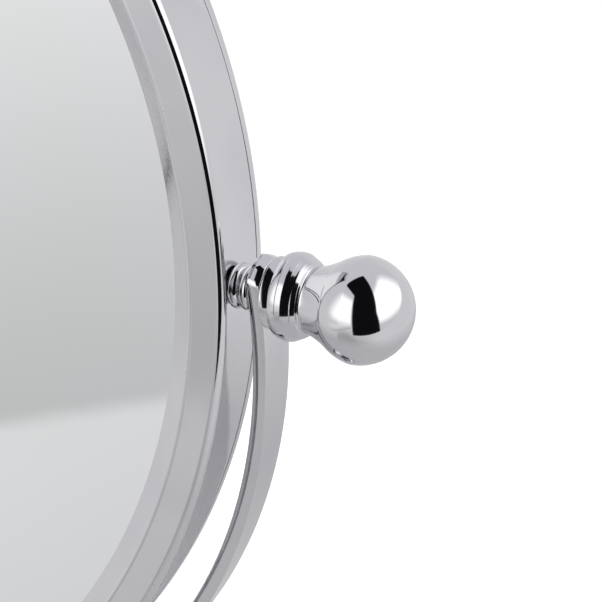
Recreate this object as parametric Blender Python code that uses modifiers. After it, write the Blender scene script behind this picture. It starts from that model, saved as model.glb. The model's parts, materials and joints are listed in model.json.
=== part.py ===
"""Countertop mirror: a round two-faced mirror that tilts in a U-shaped yoke on a turned stem and a weighted base.

Metres, +Z up. The tilt axis runs along X, the front of the base looks along -Y, and the origin is the centre of
the underside of the foot pad. The mirror head leans back a little at rest.
"""
import math

import bmesh
import bpy
from mathutils import Matrix

MM = 0.001

# Clearances
GAP = 0.3 * MM                    # between two pieces that seat on or pass through each other
CUT_EXTRA = 2 * MM                # how far a cutter runs past what it cuts

# Mirror head, heights along the head's own axis, + towards the front face
REST_TILT = math.radians(11.35)   # how far the front face looks up
BAND_RADIUS = 105.4 * MM          # outside of the rim band
BAND_WALL = 1.2 * MM
BAND_FLARE = 0.5 * MM             # how far its outside widens towards the rear
BAND_FLARE_START = 1 * MM         # height at which it starts to widen
BAND_FLARE_STEPS = 4
SPIGOT_WALL = 2.9 * MM            # the part of a bezel that centres it inside the band
GLASS_THICKNESS = 2 * MM
GLASS_FACE = 5.3 * MM             # front surface of the flat glass
GLASS_COVER = 2 * MM              # how much of the glass the bezel hides
LIP_TIP = 0.3 * MM                # thickness of the bezel at its inner edge
FRONT_LIP_PROUD = 2.2 * MM        # how far the front bezel stands out past the band
REAR_LIP_PROUD = 0.6 * MM
LIP_THICKNESS = 1.4 * MM
LIP_ROUND = 0.7 * MM
SLOPE_RISE = 1.5 * MM             # from the inner edge of the bezel up to its bead
SLOPE_RUN = 2.9 * MM
BEAD_WIDTH = 0.9 * MM
BEAD_RISE = 0.3 * MM              # from the top of the slope to the flat face
SPIGOT_LENGTH = 2.7 * MM
FRONT_PAD_THICKNESS = 0.8 * MM
BOARD_THICKNESS = 0.8 * MM
REAR_RING_WIDTH = 7.4 * MM

# Pivots, distances along X
STUD_RADIUS = 2 * MM
STUD_HEAD_THICKNESS = 1.2 * MM
STUD_IN_KNOB = 8 * MM
PLATE_HEIGHT = 16 * MM
SPACER_LENGTH = 3.7 * MM
SPACER_WALL = 0.5 * MM            # where the spacer is thinnest
SPACER_CROWN = 0.7 * MM           # how far its beads stand out
WASHER_THICKNESS = 1.5 * MM
WASHER_RADIUS = 5.5 * MM

# Knob, from its inner face outwards
KNOB_RING_RADIUS = 6.5 * MM
KNOB_RING_WIDTH = 1.3 * MM
KNOB_GROOVE_DEPTH = 0.2 * MM      # of the grooves on both sides of the ring
KNOB_COLLAR_RADIUS = 6.7 * MM
KNOB_COLLAR_CROWN = 0.4 * MM      # how far the collar's edge falls below its middle
KNOB_COLLAR_WIDTH = 1.9 * MM
KNOB_NECK_RADIUS = 5 * MM
KNOB_NECK_LENGTH = 1.3 * MM       # from the collar to the narrowest place
KNOB_SWEEP_LENGTH = 7.6 * MM      # from there to the ball's centre
KNOB_SWEEP_HOLLOW = 0.35 * MM
KNOB_BALL_RADIUS = 8.15 * MM
KNOB_BALL_END = math.radians(13)  # how far past its middle the ball runs before the sweep

# Yoke
YOKE_THICKNESS = 2.3 * MM
YOKE_WIDTH = 8 * MM
YOKE_ROOM = 6.0 * MM              # from the edge of the front lip to the yoke at the bottom
YOKE_END_RISE = 5.7 * MM          # from the tilt axis to the end of each leg
YOKE_CLIP_WIDTH = 2.5 * MM        # corners taken off the end
YOKE_CLIP_HEIGHT = 1.8 * MM

# Stem and tie rod
ROD_RADIUS = 2.5 * MM
CAP_NUT_RADIUS = 5 * MM
CAP_NUT_HEIGHT = 3.6 * MM
CAP_NUT_ROOF = 0.8 * MM
CAP_NUT_SKIRT = 1.2 * MM
SADDLE_HEIGHT = 16 * MM
SADDLE_RADIUS = 10 * MM
SADDLE_RIM = 2 * MM               # height of the rounded rim
SADDLE_ROUND = 0.8 * MM
SADDLE_BEAD = 3 * MM              # height of the bead at its bottom
SADDLE_WRAP = 1.6 * MM            # how far the saddle's cheeks rise beside the bar
NECK_RADIUS = 6 * MM              # where saddle, collar, column and foot meet
COLLAR_HEIGHT = 7 * MM
COLLAR_RADIUS = 9.5 * MM
COLLAR_LAND = 1.5 * MM            # straight stretch above and below its round
COLUMN_HEIGHT = 41.5 * MM
COLUMN_TOP_RADIUS = 5 * MM
COLUMN_BELLY_RADIUS = 8.5 * MM
COLUMN_CURVE = 0.9 * MM
COLUMN_BELLY_SHARE = 0.3          # how far up the column its belly is
FOOT_HEIGHT = 14 * MM
FOOT_RADIUS = 14 * MM
FOOT_ROUND = 1 * MM
FOOT_BEAD = 3 * MM                # height of the bead at its top
FOOT_RIM = 2.4 * MM               # height of the rounded rim at its bottom
FOOT_HOLLOW = 2 * MM

# Base
BASE_RADIUS = 75 * MM
BASE_HEIGHT = 30 * MM
BASE_WALL = 1.2 * MM
BASE_RIM_HEIGHT = 5 * MM
BASE_SHOULDER = 15 * MM           # width of the rounded band outside the step
BASE_SHOULDER_CROWN = 2.5 * MM
BASE_STEP = 1 * MM
BASE_STEP_HEIGHT = 13 * MM
BASE_HOLLOW = 3 * MM
BASE_LIFT = 1 * MM                # the pad holds the shell this far off the counter
PAD_THICKNESS = 2.5 * MM
WEIGHT_MARGIN = 5 * MM            # from the step in to the weight
WEIGHT_THICKNESS = 7 * MM
WEIGHT_POCKET_RADIUS = 8.5 * MM
WEIGHT_POCKET_DEPTH = 5.2 * MM
NUT_RADIUS = 4.6 * MM
NUT_HEIGHT = 3.4 * MM
BASE_WASHER_RADIUS = 7 * MM
BASE_WASHER_THICKNESS = 1 * MM
SLEEVE_RADIUS = 6 * MM

# Places that follow from the sizes above
BAND_INNER = BAND_RADIUS - BAND_WALL
SPIGOT_OUTER = BAND_INNER - GAP
SPIGOT_INNER = SPIGOT_OUTER - SPIGOT_WALL
GLASS_RADIUS = SPIGOT_INNER - GAP
GLASS_BACK = GLASS_FACE - GLASS_THICKNESS
FRONT_PAD_TOP = GLASS_BACK - GAP
BOARD_TOP = FRONT_PAD_TOP - FRONT_PAD_THICKNESS - GAP
BOARD_BOTTOM = BOARD_TOP - BOARD_THICKNESS
SHEET_RADIUS = GLASS_RADIUS - GAP
REAR_RING_INNER = SHEET_RADIUS - REAR_RING_WIDTH
# The hollow glass comes as near to the board as the gap allows.
MAGNIFIER_SAG = BOARD_BOTTOM - GAP + GLASS_BACK
LIP_UNDERSIDE = GLASS_FACE + GAP
LIP_BACK = LIP_UNDERSIDE + LIP_TIP + SLOPE_RISE + BEAD_RISE - LIP_THICKNESS
BAND_EDGE = LIP_BACK - GAP
SPIGOT_END = LIP_BACK - SPIGOT_LENGTH
STUD_BORE = STUD_RADIUS + GAP
STUD_INNER = GLASS_RADIUS + GAP
STUD_HEAD_RADIUS = SPIGOT_END - 2 * GAP
PLATE_WIDTH = 2 * (SPIGOT_END - GAP)
PLATE_INNER = STUD_INNER + STUD_HEAD_THICKNESS + GAP
PLATE_OUTER = math.sqrt(BAND_INNER**2 - (PLATE_HEIGHT / 2) ** 2) - GAP
SPACER_INNER = BAND_RADIUS + GAP
YOKE_INNER = SPACER_INNER + SPACER_LENGTH + GAP
YOKE_OUTER = YOKE_INNER + YOKE_THICKNESS
WASHER_INNER = YOKE_OUTER + GAP
KNOB_INNER = WASHER_INNER + WASHER_THICKNESS + GAP
KNOB_COLLAR_START = KNOB_INNER + KNOB_RING_WIDTH
KNOB_COLLAR_END = KNOB_COLLAR_START + KNOB_COLLAR_WIDTH
KNOB_NECK = KNOB_COLLAR_END + KNOB_NECK_LENGTH
KNOB_CENTRE = KNOB_NECK + KNOB_SWEEP_LENGTH
ROD_BORE = ROD_RADIUS + GAP
BASE_TOP = BASE_LIFT + BASE_HEIGHT
BASE_STEP_RADIUS = BASE_RADIUS - BASE_SHOULDER
FOOT_BOTTOM = BASE_TOP + GAP
FOOT_TOP = FOOT_BOTTOM + FOOT_HEIGHT
COLUMN_BOTTOM = FOOT_TOP + GAP
COLUMN_TOP = COLUMN_BOTTOM + COLUMN_HEIGHT
COLLAR_BOTTOM = COLUMN_TOP + GAP
COLLAR_TOP = COLLAR_BOTTOM + COLLAR_HEIGHT
SADDLE_BOTTOM = COLLAR_TOP + GAP
SADDLE_TOP = SADDLE_BOTTOM + SADDLE_HEIGHT
YOKE_BOTTOM = SADDLE_TOP - SADDLE_WRAP + YOKE_THICKNESS
YOKE_DROP = BAND_RADIUS + FRONT_LIP_PROUD + YOKE_ROOM
PIVOT_HEIGHT = YOKE_BOTTOM + YOKE_DROP
WEIGHT_RADIUS = BASE_STEP_RADIUS - WEIGHT_MARGIN
WEIGHT_BOTTOM = PAD_THICKNESS + GAP
WEIGHT_TOP = WEIGHT_BOTTOM + WEIGHT_THICKNESS
POCKET_TOP = WEIGHT_BOTTOM + WEIGHT_POCKET_DEPTH
# The cap nut is flat and the yoke under it curves up, so its edge needs this much more room.
CAP_NUT_SEAT = YOKE_BOTTOM + GAP + CAP_NUT_RADIUS**2 * YOKE_DROP / (2 * YOKE_INNER**2)

# Facets
HEAD_STEPS = 48
KNOB_STEPS = 20
STUD_STEPS = 12
STEM_STEPS = 16
BASE_STEPS = 32
YOKE_STEPS = 40
GLASS_RINGS = 3

TO_FRONT = (math.pi / 2, 0, 0)    # a turned piece's axis along -Y
TO_SIDE = {"right": (0, math.pi / 2, 0), "left": (0, -math.pi / 2, 0)}


def clear_scene():
    """Removes what the scene holds."""
    for obj in list(bpy.data.objects):
        bpy.data.objects.remove(obj, do_unlink=True)


def collection(name):
    """A new collection in the scene."""
    made = bpy.data.collections.new(name)
    bpy.context.scene.collection.children.link(made)
    return made


def finish(name, colour, metallic, roughness):
    """A plain material of one colour."""
    made = bpy.data.materials.new(name)
    made.use_nodes = True
    shader = made.node_tree.nodes["Principled BSDF"]
    shader.inputs["Base Color"].default_value = (*colour, 1)
    shader.inputs["Metallic"].default_value = metallic
    shader.inputs["Roughness"].default_value = roughness
    return made


def bow(start, end, bulge, count):
    """The points after start of an arc to end, in count chords.

    Its middle stands bulge to the left of the straight line from start to end.
    """
    run, rise = end[0] - start[0], end[1] - start[1]
    chord = math.hypot(run, rise)
    half = 2 * math.atan(2 * bulge / chord)
    points = []
    for step in range(1, count + 1):
        angle = (2 * step / count - 1) * half
        along = 0.5 + 0.5 * math.sin(angle) / math.sin(half)
        across = 0.5 * (math.cos(angle) - math.cos(half)) / math.sin(half)
        points.append((start[0] + along * run - across * rise, start[1] + along * rise + across * run))
    return points


def arc(centre, radius, first, last, count):
    """The points of a circle about centre from the angle first to last, both in radians from the radial axis."""
    points = []
    for step in range(count + 1):
        angle = first + (last - first) * step / count
        points.append((centre[0] + radius * math.cos(angle), centre[1] + radius * math.sin(angle)))
    return points


def ellipse(half_width, drop, top):
    """The points of a U from (half_width, top) round the bottom at -drop to (-half_width, top)."""
    points = [(half_width, top)]
    for step in range(YOKE_STEPS + 1):
        angle = math.pi * step / YOKE_STEPS
        points.append((half_width * math.cos(angle), -drop * math.sin(angle)))
    points.append((-half_width, top))
    return points


def add_object(name, mesh, look, parent, group, turn=(0, 0, 0), place=(0, 0, 0)):
    """Puts a mesh in the scene as one named piece."""
    obj = bpy.data.objects.new(name, mesh)
    obj.rotation_euler = turn
    obj.location = place
    obj.parent = parent
    if look:
        mesh.materials.clear()
        mesh.materials.append(look)
    group.objects.link(obj)
    return obj


def evaluated_mesh(obj):
    """The object's mesh with its modifiers, or its curve's surface, as a mesh of its own with welded points."""
    bpy.context.view_layer.update()
    graph = bpy.context.evaluated_depsgraph_get()
    mesh = bpy.data.meshes.new_from_object(obj.evaluated_get(graph))
    edit = bmesh.new()
    edit.from_mesh(mesh)
    bmesh.ops.remove_doubles(edit, verts=edit.verts, dist=0.001 * MM)
    bmesh.ops.recalc_face_normals(edit, faces=edit.faces)
    edit.to_mesh(mesh)
    edit.free()
    return mesh


def turned(name, profile, steps, look, parent, group, turn=(0, 0, 0), place=(0, 0, 0)):
    """A turned piece. The profile is (radius, height) and runs down the outer side.

    It ends on the axis, or else it is closed into a ring.
    """
    mesh = bpy.data.meshes.new(name)
    points = [(radius, 0, height) for radius, height in profile]
    edges = [(index, index + 1) for index in range(len(points) - 1)]
    if profile[0][0] > 0:
        edges.append((len(points) - 1, 0))
    mesh.from_pydata(points, edges, [])
    blank = add_object(name + "_profile", mesh, None, None, group)
    screw = blank.modifiers.new("Turn", "SCREW")
    screw.steps = steps
    screw.render_steps = steps
    screw.use_merge_vertices = True
    screw.merge_threshold = 0.01 * MM
    solid = evaluated_mesh(blank)
    solid.name = name
    bpy.data.objects.remove(blank, do_unlink=True)
    solid.shade_smooth()
    solid.set_sharp_from_angle(angle=math.radians(35))
    return add_object(name, solid, look, parent, group, turn, place)


def plate(name, outline, thickness, look, parent, group, turn=(0, 0, 0), place=(0, 0, 0)):
    """A flat outline in the piece's own XY plane, thickened both ways along its Z."""
    curve = bpy.data.curves.new(name, "CURVE")
    curve.dimensions = "2D"
    curve.fill_mode = "BOTH"
    curve.extrude = thickness / 2
    spline = curve.splines.new("POLY")
    spline.points.add(len(outline) - 1)
    for point, (across, up) in zip(spline.points, outline):
        point.co = (across, up, 0, 1)
    spline.use_cyclic_u = True
    blank = bpy.data.objects.new(name + "_outline", curve)
    group.objects.link(blank)
    solid = evaluated_mesh(blank)
    solid.name = name
    bpy.data.objects.remove(blank, do_unlink=True)
    return add_object(name, solid, look, parent, group, turn, place)


def rod_cutter(name, radius, start, end, steps, parent, group, turn=(0, 0, 0), place=(0, 0, 0)):
    """A hidden cylinder from height start to end on the cutter's own axis."""
    cutter = turned(name, disc(radius, start, end), steps, None, parent, group, turn, place)
    # Half a facet round, so that no edge of the cutter lies on an edge of what it cuts.
    cutter.data.transform(Matrix.Rotation(math.pi / steps, 4, "Z"))
    return hide(cutter)


def hide(cutter):
    """Leaves a cutter out of the finished object."""
    cutter.hide_render = True
    cutter.display_type = "WIRE"
    return cutter


def combine(obj, cutter, operation="DIFFERENCE"):
    """Cuts or trims a piece by another."""
    step = obj.modifiers.new(cutter.name, "BOOLEAN")
    step.operation = operation
    step.object = cutter


def tube(outer, inner, bottom, top):
    """The profile of a plain ring."""
    return [(outer, top), (outer, bottom), (inner, bottom), (inner, top)]


def disc(radius, bottom, top):
    """The profile of a plain disc."""
    return [(0, top), (radius, top), (radius, bottom), (0, bottom)]


def bezel_profile(proud):
    """One bezel from its flat face: bead, slope, glass seat, spigot and rounded lip.

    Args: proud is how far its lip stands out past the band.
    """
    outer = BAND_RADIUS + proud
    face = LIP_BACK + LIP_THICKNESS
    tip = GLASS_RADIUS - GLASS_COVER
    bead = tip + SLOPE_RUN
    slope_top = face - BEAD_RISE
    lip_centre = (outer - LIP_ROUND, face - LIP_ROUND)
    return [
        (tip, LIP_UNDERSIDE + LIP_TIP),
        (bead, slope_top),
        *bow((bead, slope_top), (bead + BEAD_WIDTH, face), BEAD_RISE / 2, 2),
        *arc(lip_centre, LIP_ROUND, math.pi / 2, -math.pi / 2, 4),
        (SPIGOT_OUTER, LIP_BACK),
        (SPIGOT_OUTER, SPIGOT_END),
        (SPIGOT_INNER, SPIGOT_END),
        (SPIGOT_INNER, LIP_UNDERSIDE),
        (tip, LIP_UNDERSIDE),
    ]


def hollow(radius):
    """How deep the magnifying glass is at a radius."""
    return MAGNIFIER_SAG * (1 - (radius / GLASS_RADIUS) ** 2)


def magnifier_profile():
    """The hollow glass, its outer face up."""
    inner = []
    outer = []
    for ring in range(GLASS_RINGS + 1):
        radius = GLASS_RADIUS * ring / GLASS_RINGS
        outer.append((radius, GLASS_FACE - hollow(radius)))
        inner.append((radius, GLASS_BACK - hollow(radius)))
    return outer + inner[::-1]


def make_head(looks, axis, parts):
    """The two glasses with their bezels, the band and what lies between the glasses."""
    back_to_front = (-math.pi / 2, 0, 0)
    ring_bottom = hollow(REAR_RING_INNER) + GAP - GLASS_BACK
    sheets = (
        ("front_glass", disc(GLASS_RADIUS, GLASS_BACK, GLASS_FACE), "glass"),
        ("front_pad", disc(SHEET_RADIUS, FRONT_PAD_TOP - FRONT_PAD_THICKNESS, FRONT_PAD_TOP), "foam"),
        ("backing_board", disc(SHEET_RADIUS, BOARD_BOTTOM, BOARD_TOP), "board"),
        ("rear_ring", tube(SHEET_RADIUS, REAR_RING_INNER, ring_bottom, BOARD_BOTTOM - GAP), "foam"),
        ("front_bezel", bezel_profile(FRONT_LIP_PROUD), "chrome"),
    )
    for name, profile, look in sheets:
        turned(name, profile, HEAD_STEPS, looks[look], axis, parts, TO_FRONT)
    turned("rear_glass", magnifier_profile(), HEAD_STEPS, looks["glass"], axis, parts, back_to_front)
    rear = bezel_profile(REAR_LIP_PROUD)
    turned("rear_bezel", rear, HEAD_STEPS, looks["chrome"], axis, parts, back_to_front)


def make_band(looks, axis, parts, cutters):
    """The rim band with its two stud holes."""
    flare = [(BAND_INNER, BAND_EDGE), (BAND_RADIUS, BAND_EDGE)]
    run = BAND_FLARE_START + BAND_EDGE
    for step in range(BAND_FLARE_STEPS + 1):
        share = step / BAND_FLARE_STEPS
        flare.append((BAND_RADIUS + BAND_FLARE * share**2, BAND_FLARE_START - share * run))
    profile = [*flare, (BAND_INNER, -BAND_EDGE)]
    band = turned("rim_band", profile, HEAD_STEPS, looks["chrome"], axis, parts, TO_FRONT)
    reach = BAND_RADIUS + BAND_FLARE + CUT_EXTRA
    hole = rod_cutter("band_drill", STUD_BORE, -reach, reach, STUD_STEPS, axis, cutters, TO_SIDE["right"])
    combine(band, hole)


def spacer_profile():
    """Two beads side by side on a bored sleeve."""
    middle = SPACER_INNER + SPACER_LENGTH / 2
    end = SPACER_INNER + SPACER_LENGTH
    waist = STUD_BORE + SPACER_WALL
    return [
        (STUD_BORE, end),
        (waist, end),
        *bow((waist, end), (waist, middle), SPACER_CROWN, 5),
        *bow((waist, middle), (waist, SPACER_INNER), SPACER_CROWN, 5),
        (STUD_BORE, SPACER_INNER),
    ]


def stud_profile():
    """A headed stud, its head inside the band."""
    head_end = STUD_INNER + STUD_HEAD_THICKNESS
    end = KNOB_INNER + STUD_IN_KNOB
    return [
        (0, end),
        (STUD_RADIUS - GAP, end),
        (STUD_RADIUS, end - GAP),
        (STUD_RADIUS, head_end),
        (STUD_HEAD_RADIUS, head_end),
        (STUD_HEAD_RADIUS, STUD_INNER),
        (0, STUD_INNER),
    ]


def knob_profile():
    """Ball, swept neck, round-edged collar and ring with a groove between, and a blind bore for the stud."""
    ball = arc((0, KNOB_CENTRE), KNOB_BALL_RADIUS, math.pi / 2, -KNOB_BALL_END, 8)
    edge = KNOB_COLLAR_RADIUS - KNOB_COLLAR_CROWN
    groove = KNOB_RING_RADIUS - KNOB_GROOVE_DEPTH
    bore_end = KNOB_INNER + STUD_IN_KNOB + GAP
    return [
        (0, KNOB_CENTRE + KNOB_BALL_RADIUS),
        *ball[1:],
        *bow(ball[-1], (KNOB_NECK_RADIUS, KNOB_NECK), -KNOB_SWEEP_HOLLOW, 4),
        (edge, KNOB_COLLAR_END),
        *bow((edge, KNOB_COLLAR_END), (edge, KNOB_COLLAR_START), KNOB_COLLAR_CROWN, 4),
        (groove, KNOB_COLLAR_START),
        *bow((groove, KNOB_COLLAR_START), (groove, KNOB_INNER), KNOB_GROOVE_DEPTH, 3),
        (STUD_BORE, KNOB_INNER),
        (STUD_BORE, bore_end),
        (0, bore_end),
    ]


def make_pivot(side, looks, head_axis, knob_axis, parts, cutters):
    """The plate, stud and spacer that turn with the head, and the washer and knob outside the yoke."""
    turn = TO_SIDE[side]
    mesh = bpy.data.meshes.new("plate")
    edit = bmesh.new()
    bmesh.ops.create_cube(edit, size=1)
    bmesh.ops.scale(edit, verts=edit.verts, vec=(PLATE_HEIGHT, PLATE_WIDTH, PLATE_OUTER - PLATE_INNER))
    bmesh.ops.translate(edit, verts=edit.verts, vec=(0, 0, (PLATE_OUTER + PLATE_INNER) / 2))
    edit.to_mesh(mesh)
    edit.free()
    backing = add_object("pivot_plate_" + side, mesh, looks["steel"], head_axis, parts, turn)
    hole = rod_cutter(
        "plate_drill_" + side, STUD_BORE, PLATE_INNER - CUT_EXTRA, PLATE_OUTER + CUT_EXTRA, STUD_STEPS,
        head_axis, cutters, turn,
    )
    combine(backing, hole)
    turned("pivot_stud_" + side, stud_profile(), STUD_STEPS, looks["steel"], head_axis, parts, turn)
    turned("spacer_" + side, spacer_profile(), KNOB_STEPS, looks["chrome"], head_axis, parts, turn)
    washer = tube(WASHER_RADIUS, STUD_BORE, WASHER_INNER, WASHER_INNER + WASHER_THICKNESS)
    turned("knob_washer_" + side, washer, KNOB_STEPS, looks["chrome"], knob_axis, parts, turn)
    turned("knob_" + side, knob_profile(), KNOB_STEPS, looks["chrome"], knob_axis, parts, turn)


def yoke_outline(growth, top):
    """The bar seen from the front, about the tilt axis, made larger all round by growth."""
    inner = ellipse(YOKE_INNER - growth, YOKE_DROP - growth, top)
    outer = ellipse(YOKE_OUTER + growth, YOKE_DROP + YOKE_THICKNESS + growth, top)
    return inner + outer[::-1]


def make_yoke(looks, parts, cutters):
    """The flat bar bent to a U, with clipped ends and three holes."""
    place = (0, 0, PIVOT_HEIGHT)
    half = YOKE_WIDTH / 2
    outline = yoke_outline(0, YOKE_END_RISE + CUT_EXTRA)
    yoke = plate("yoke", outline, YOKE_WIDTH + CUT_EXTRA, looks["chrome"], None, parts, TO_FRONT, place)
    below = -YOKE_DROP - YOKE_THICKNESS - CUT_EXTRA
    flat = half - YOKE_CLIP_WIDTH
    clip = YOKE_END_RISE - YOKE_CLIP_HEIGHT
    side_view = [
        (-half, below), (half, below), (half, clip), (flat, YOKE_END_RISE), (-flat, YOKE_END_RISE), (-half, clip),
    ]
    # Standing up and facing along X, this outline trims the bar to its width and clips its ends.
    trim = plate(
        "yoke_trim", side_view, 2 * (YOKE_OUTER + CUT_EXTRA), None, None, cutters,
        (math.pi / 2, 0, math.pi / 2), place,
    )
    combine(yoke, hide(trim), "INTERSECT")
    reach = YOKE_OUTER + CUT_EXTRA
    pivots = rod_cutter(
        "yoke_drill", STUD_BORE, -reach, reach, STUD_STEPS, None, cutters, TO_SIDE["right"], place
    )
    combine(yoke, pivots)
    bottom = rod_cutter(
        "yoke_rod_drill", ROD_BORE, YOKE_BOTTOM - YOKE_THICKNESS - CUT_EXTRA, YOKE_BOTTOM + CUT_EXTRA,
        STUD_STEPS, None, cutters,
    )
    combine(yoke, bottom)


def make_saddle(looks, parts, cutters):
    """The cup under the yoke, slotted to hold the bar."""
    lip = SADDLE_RADIUS - SADDLE_ROUND
    rim = SADDLE_TOP - SADDLE_RIM
    bead_top = SADDLE_BOTTOM + SADDLE_BEAD
    bead = NECK_RADIUS + SADDLE_ROUND
    profile = [
        (ROD_BORE, SADDLE_TOP),
        (lip, SADDLE_TOP),
        *bow((lip, SADDLE_TOP), (lip, rim), SADDLE_ROUND, 4),
        *bow((lip, rim), (NECK_RADIUS, bead_top), -2 * SADDLE_ROUND, 5),
        (bead, bead_top),
        *bow((bead, bead_top), (bead, SADDLE_BOTTOM), SADDLE_ROUND, 4),
        (ROD_BORE, SADDLE_BOTTOM),
    ]
    saddle = turned("yoke_saddle", profile, STEM_STEPS, looks["chrome"], None, parts)
    slot = plate(
        "saddle_slot", yoke_outline(GAP, 0), YOKE_WIDTH + 2 * GAP, None, None, cutters, TO_FRONT,
        (0, 0, PIVOT_HEIGHT),
    )
    combine(saddle, hide(slot))


def column_profile():
    """A slim baluster with its belly low."""
    belly = COLUMN_BOTTOM + COLUMN_BELLY_SHARE * COLUMN_HEIGHT
    return [
        (ROD_BORE, COLUMN_TOP),
        (COLUMN_TOP_RADIUS, COLUMN_TOP),
        *bow((COLUMN_TOP_RADIUS, COLUMN_TOP), (COLUMN_BELLY_RADIUS, belly), -COLUMN_CURVE, 7),
        *bow((COLUMN_BELLY_RADIUS, belly), (NECK_RADIUS, COLUMN_BOTTOM), COLUMN_CURVE, 5),
        (ROD_BORE, COLUMN_BOTTOM),
    ]


def foot_profile():
    """The flared foot of the stem, with a bead above and a round rim below."""
    bead = NECK_RADIUS + FOOT_ROUND
    rim = FOOT_RADIUS - FOOT_ROUND
    shoulder = FOOT_BOTTOM + FOOT_RIM
    neck = FOOT_TOP - FOOT_BEAD
    return [
        (ROD_BORE, FOOT_TOP),
        (bead, FOOT_TOP),
        *bow((bead, FOOT_TOP), (bead, neck), FOOT_ROUND, 4),
        (NECK_RADIUS, neck),
        *bow((NECK_RADIUS, neck), (rim, shoulder), -FOOT_HOLLOW, 6),
        *bow((rim, shoulder), (rim, FOOT_BOTTOM), FOOT_ROUND, 4),
        (ROD_BORE, FOOT_BOTTOM),
    ]


def collar_profile():
    """The round collar between column and saddle."""
    lower = COLLAR_BOTTOM + COLLAR_LAND
    upper = COLLAR_TOP - COLLAR_LAND
    return [
        (ROD_BORE, COLLAR_TOP),
        (NECK_RADIUS, COLLAR_TOP),
        (NECK_RADIUS, upper),
        *bow((NECK_RADIUS, upper), (NECK_RADIUS, lower), COLLAR_RADIUS - NECK_RADIUS, 8),
        (NECK_RADIUS, COLLAR_BOTTOM),
        (ROD_BORE, COLLAR_BOTTOM),
    ]


def cap_nut_profile():
    """A low domed nut with a blind bore."""
    top = CAP_NUT_SEAT + CAP_NUT_HEIGHT
    skirt = CAP_NUT_SEAT + CAP_NUT_SKIRT
    return [
        (0, top),
        *bow((0, top), (CAP_NUT_RADIUS, skirt), CAP_NUT_ROOF, 5),
        (CAP_NUT_RADIUS, CAP_NUT_SEAT),
        (ROD_BORE, CAP_NUT_SEAT),
        (ROD_BORE, top - CAP_NUT_ROOF),
        (0, top - CAP_NUT_ROOF),
    ]


def make_stem(looks, parts):
    """Column, collar, foot, tie rod and cap nut, all on the vertical axis."""
    rod_top = CAP_NUT_SEAT + CAP_NUT_HEIGHT - CAP_NUT_ROOF - GAP
    pieces = (
        ("stem_column", column_profile(), "chrome"),
        ("stem_foot", foot_profile(), "chrome"),
        ("stem_collar", collar_profile(), "chrome"),
        ("cap_nut", cap_nut_profile(), "chrome"),
        ("tie_rod", disc(ROD_RADIUS, WEIGHT_BOTTOM, rod_top), "steel"),
    )
    for name, profile, look in pieces:
        turned(name, profile, STEM_STEPS, looks[look], None, parts)


def base_outline():
    """The outside of the base from the stem's foot down to its rim."""
    rim_top = BASE_LIFT + BASE_RIM_HEIGHT
    step = BASE_LIFT + BASE_STEP_HEIGHT
    seat = FOOT_RADIUS + BASE_STEP
    return [
        (seat, BASE_TOP),
        *bow((seat, BASE_TOP), (BASE_STEP_RADIUS - BASE_STEP, step), -BASE_HOLLOW, 8),
        (BASE_STEP_RADIUS, step - BASE_STEP),
        *bow((BASE_STEP_RADIUS, step - BASE_STEP), (BASE_RADIUS, rim_top), BASE_SHOULDER_CROWN, 5),
        (BASE_RADIUS, BASE_LIFT),
    ]


def shell_profile():
    """The base outline with an inside that lies one wall further in and down."""
    outside = [(ROD_BORE, BASE_TOP), *base_outline()]
    inside = [(radius - BASE_WALL, height - BASE_WALL) for radius, height in outside[1:-1]]
    rim = (BASE_RADIUS - BASE_WALL, BASE_LIFT)
    return [*outside, rim, *inside[::-1], (ROD_BORE, BASE_TOP - BASE_WALL)]


def make_base(looks, parts, cutters):
    """The spun shell, the weight inside it, their fasteners and the pad they stand on."""
    turned("base_shell", shell_profile(), BASE_STEPS, looks["chrome"], None, parts)
    turned("foot_pad", disc(BASE_RADIUS - BASE_WALL - GAP, 0, PAD_THICKNESS), BASE_STEPS, looks["felt"], None, parts)
    pocket = WEIGHT_POCKET_RADIUS
    weight = [
        (ROD_BORE, WEIGHT_TOP),
        (WEIGHT_RADIUS, WEIGHT_TOP),
        (WEIGHT_RADIUS, WEIGHT_BOTTOM),
        (pocket, WEIGHT_BOTTOM),
        (pocket, POCKET_TOP),
        (ROD_BORE, POCKET_TOP),
    ]
    turned("base_weight", weight, BASE_STEPS, looks["iron"], None, parts)
    washer_top = POCKET_TOP - GAP
    washer = tube(BASE_WASHER_RADIUS, ROD_BORE, washer_top - BASE_WASHER_THICKNESS, washer_top)
    turned("base_washer", washer, STEM_STEPS, looks["steel"], None, parts)
    nut_top = washer_top - BASE_WASHER_THICKNESS - GAP
    nut = turned("base_nut", disc(NUT_RADIUS, nut_top - NUT_HEIGHT, nut_top), 6, looks["steel"], None, parts)
    bore = rod_cutter("nut_drill", ROD_BORE, nut_top - NUT_HEIGHT - CUT_EXTRA, nut_top + CUT_EXTRA, STUD_STEPS,
                      None, cutters)
    combine(nut, bore)
    sleeve = tube(SLEEVE_RADIUS, ROD_BORE, WEIGHT_TOP + GAP, BASE_TOP - BASE_WALL - GAP)
    turned("base_sleeve", sleeve, STEM_STEPS, looks["steel"], None, parts)


def make_axis(name, parent, place, turn, group):
    """An empty on a joint's axis."""
    axis = bpy.data.objects.new(name, None)
    axis.location = place
    axis.rotation_euler = turn
    axis.parent = parent
    group.objects.link(axis)
    return axis


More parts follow.
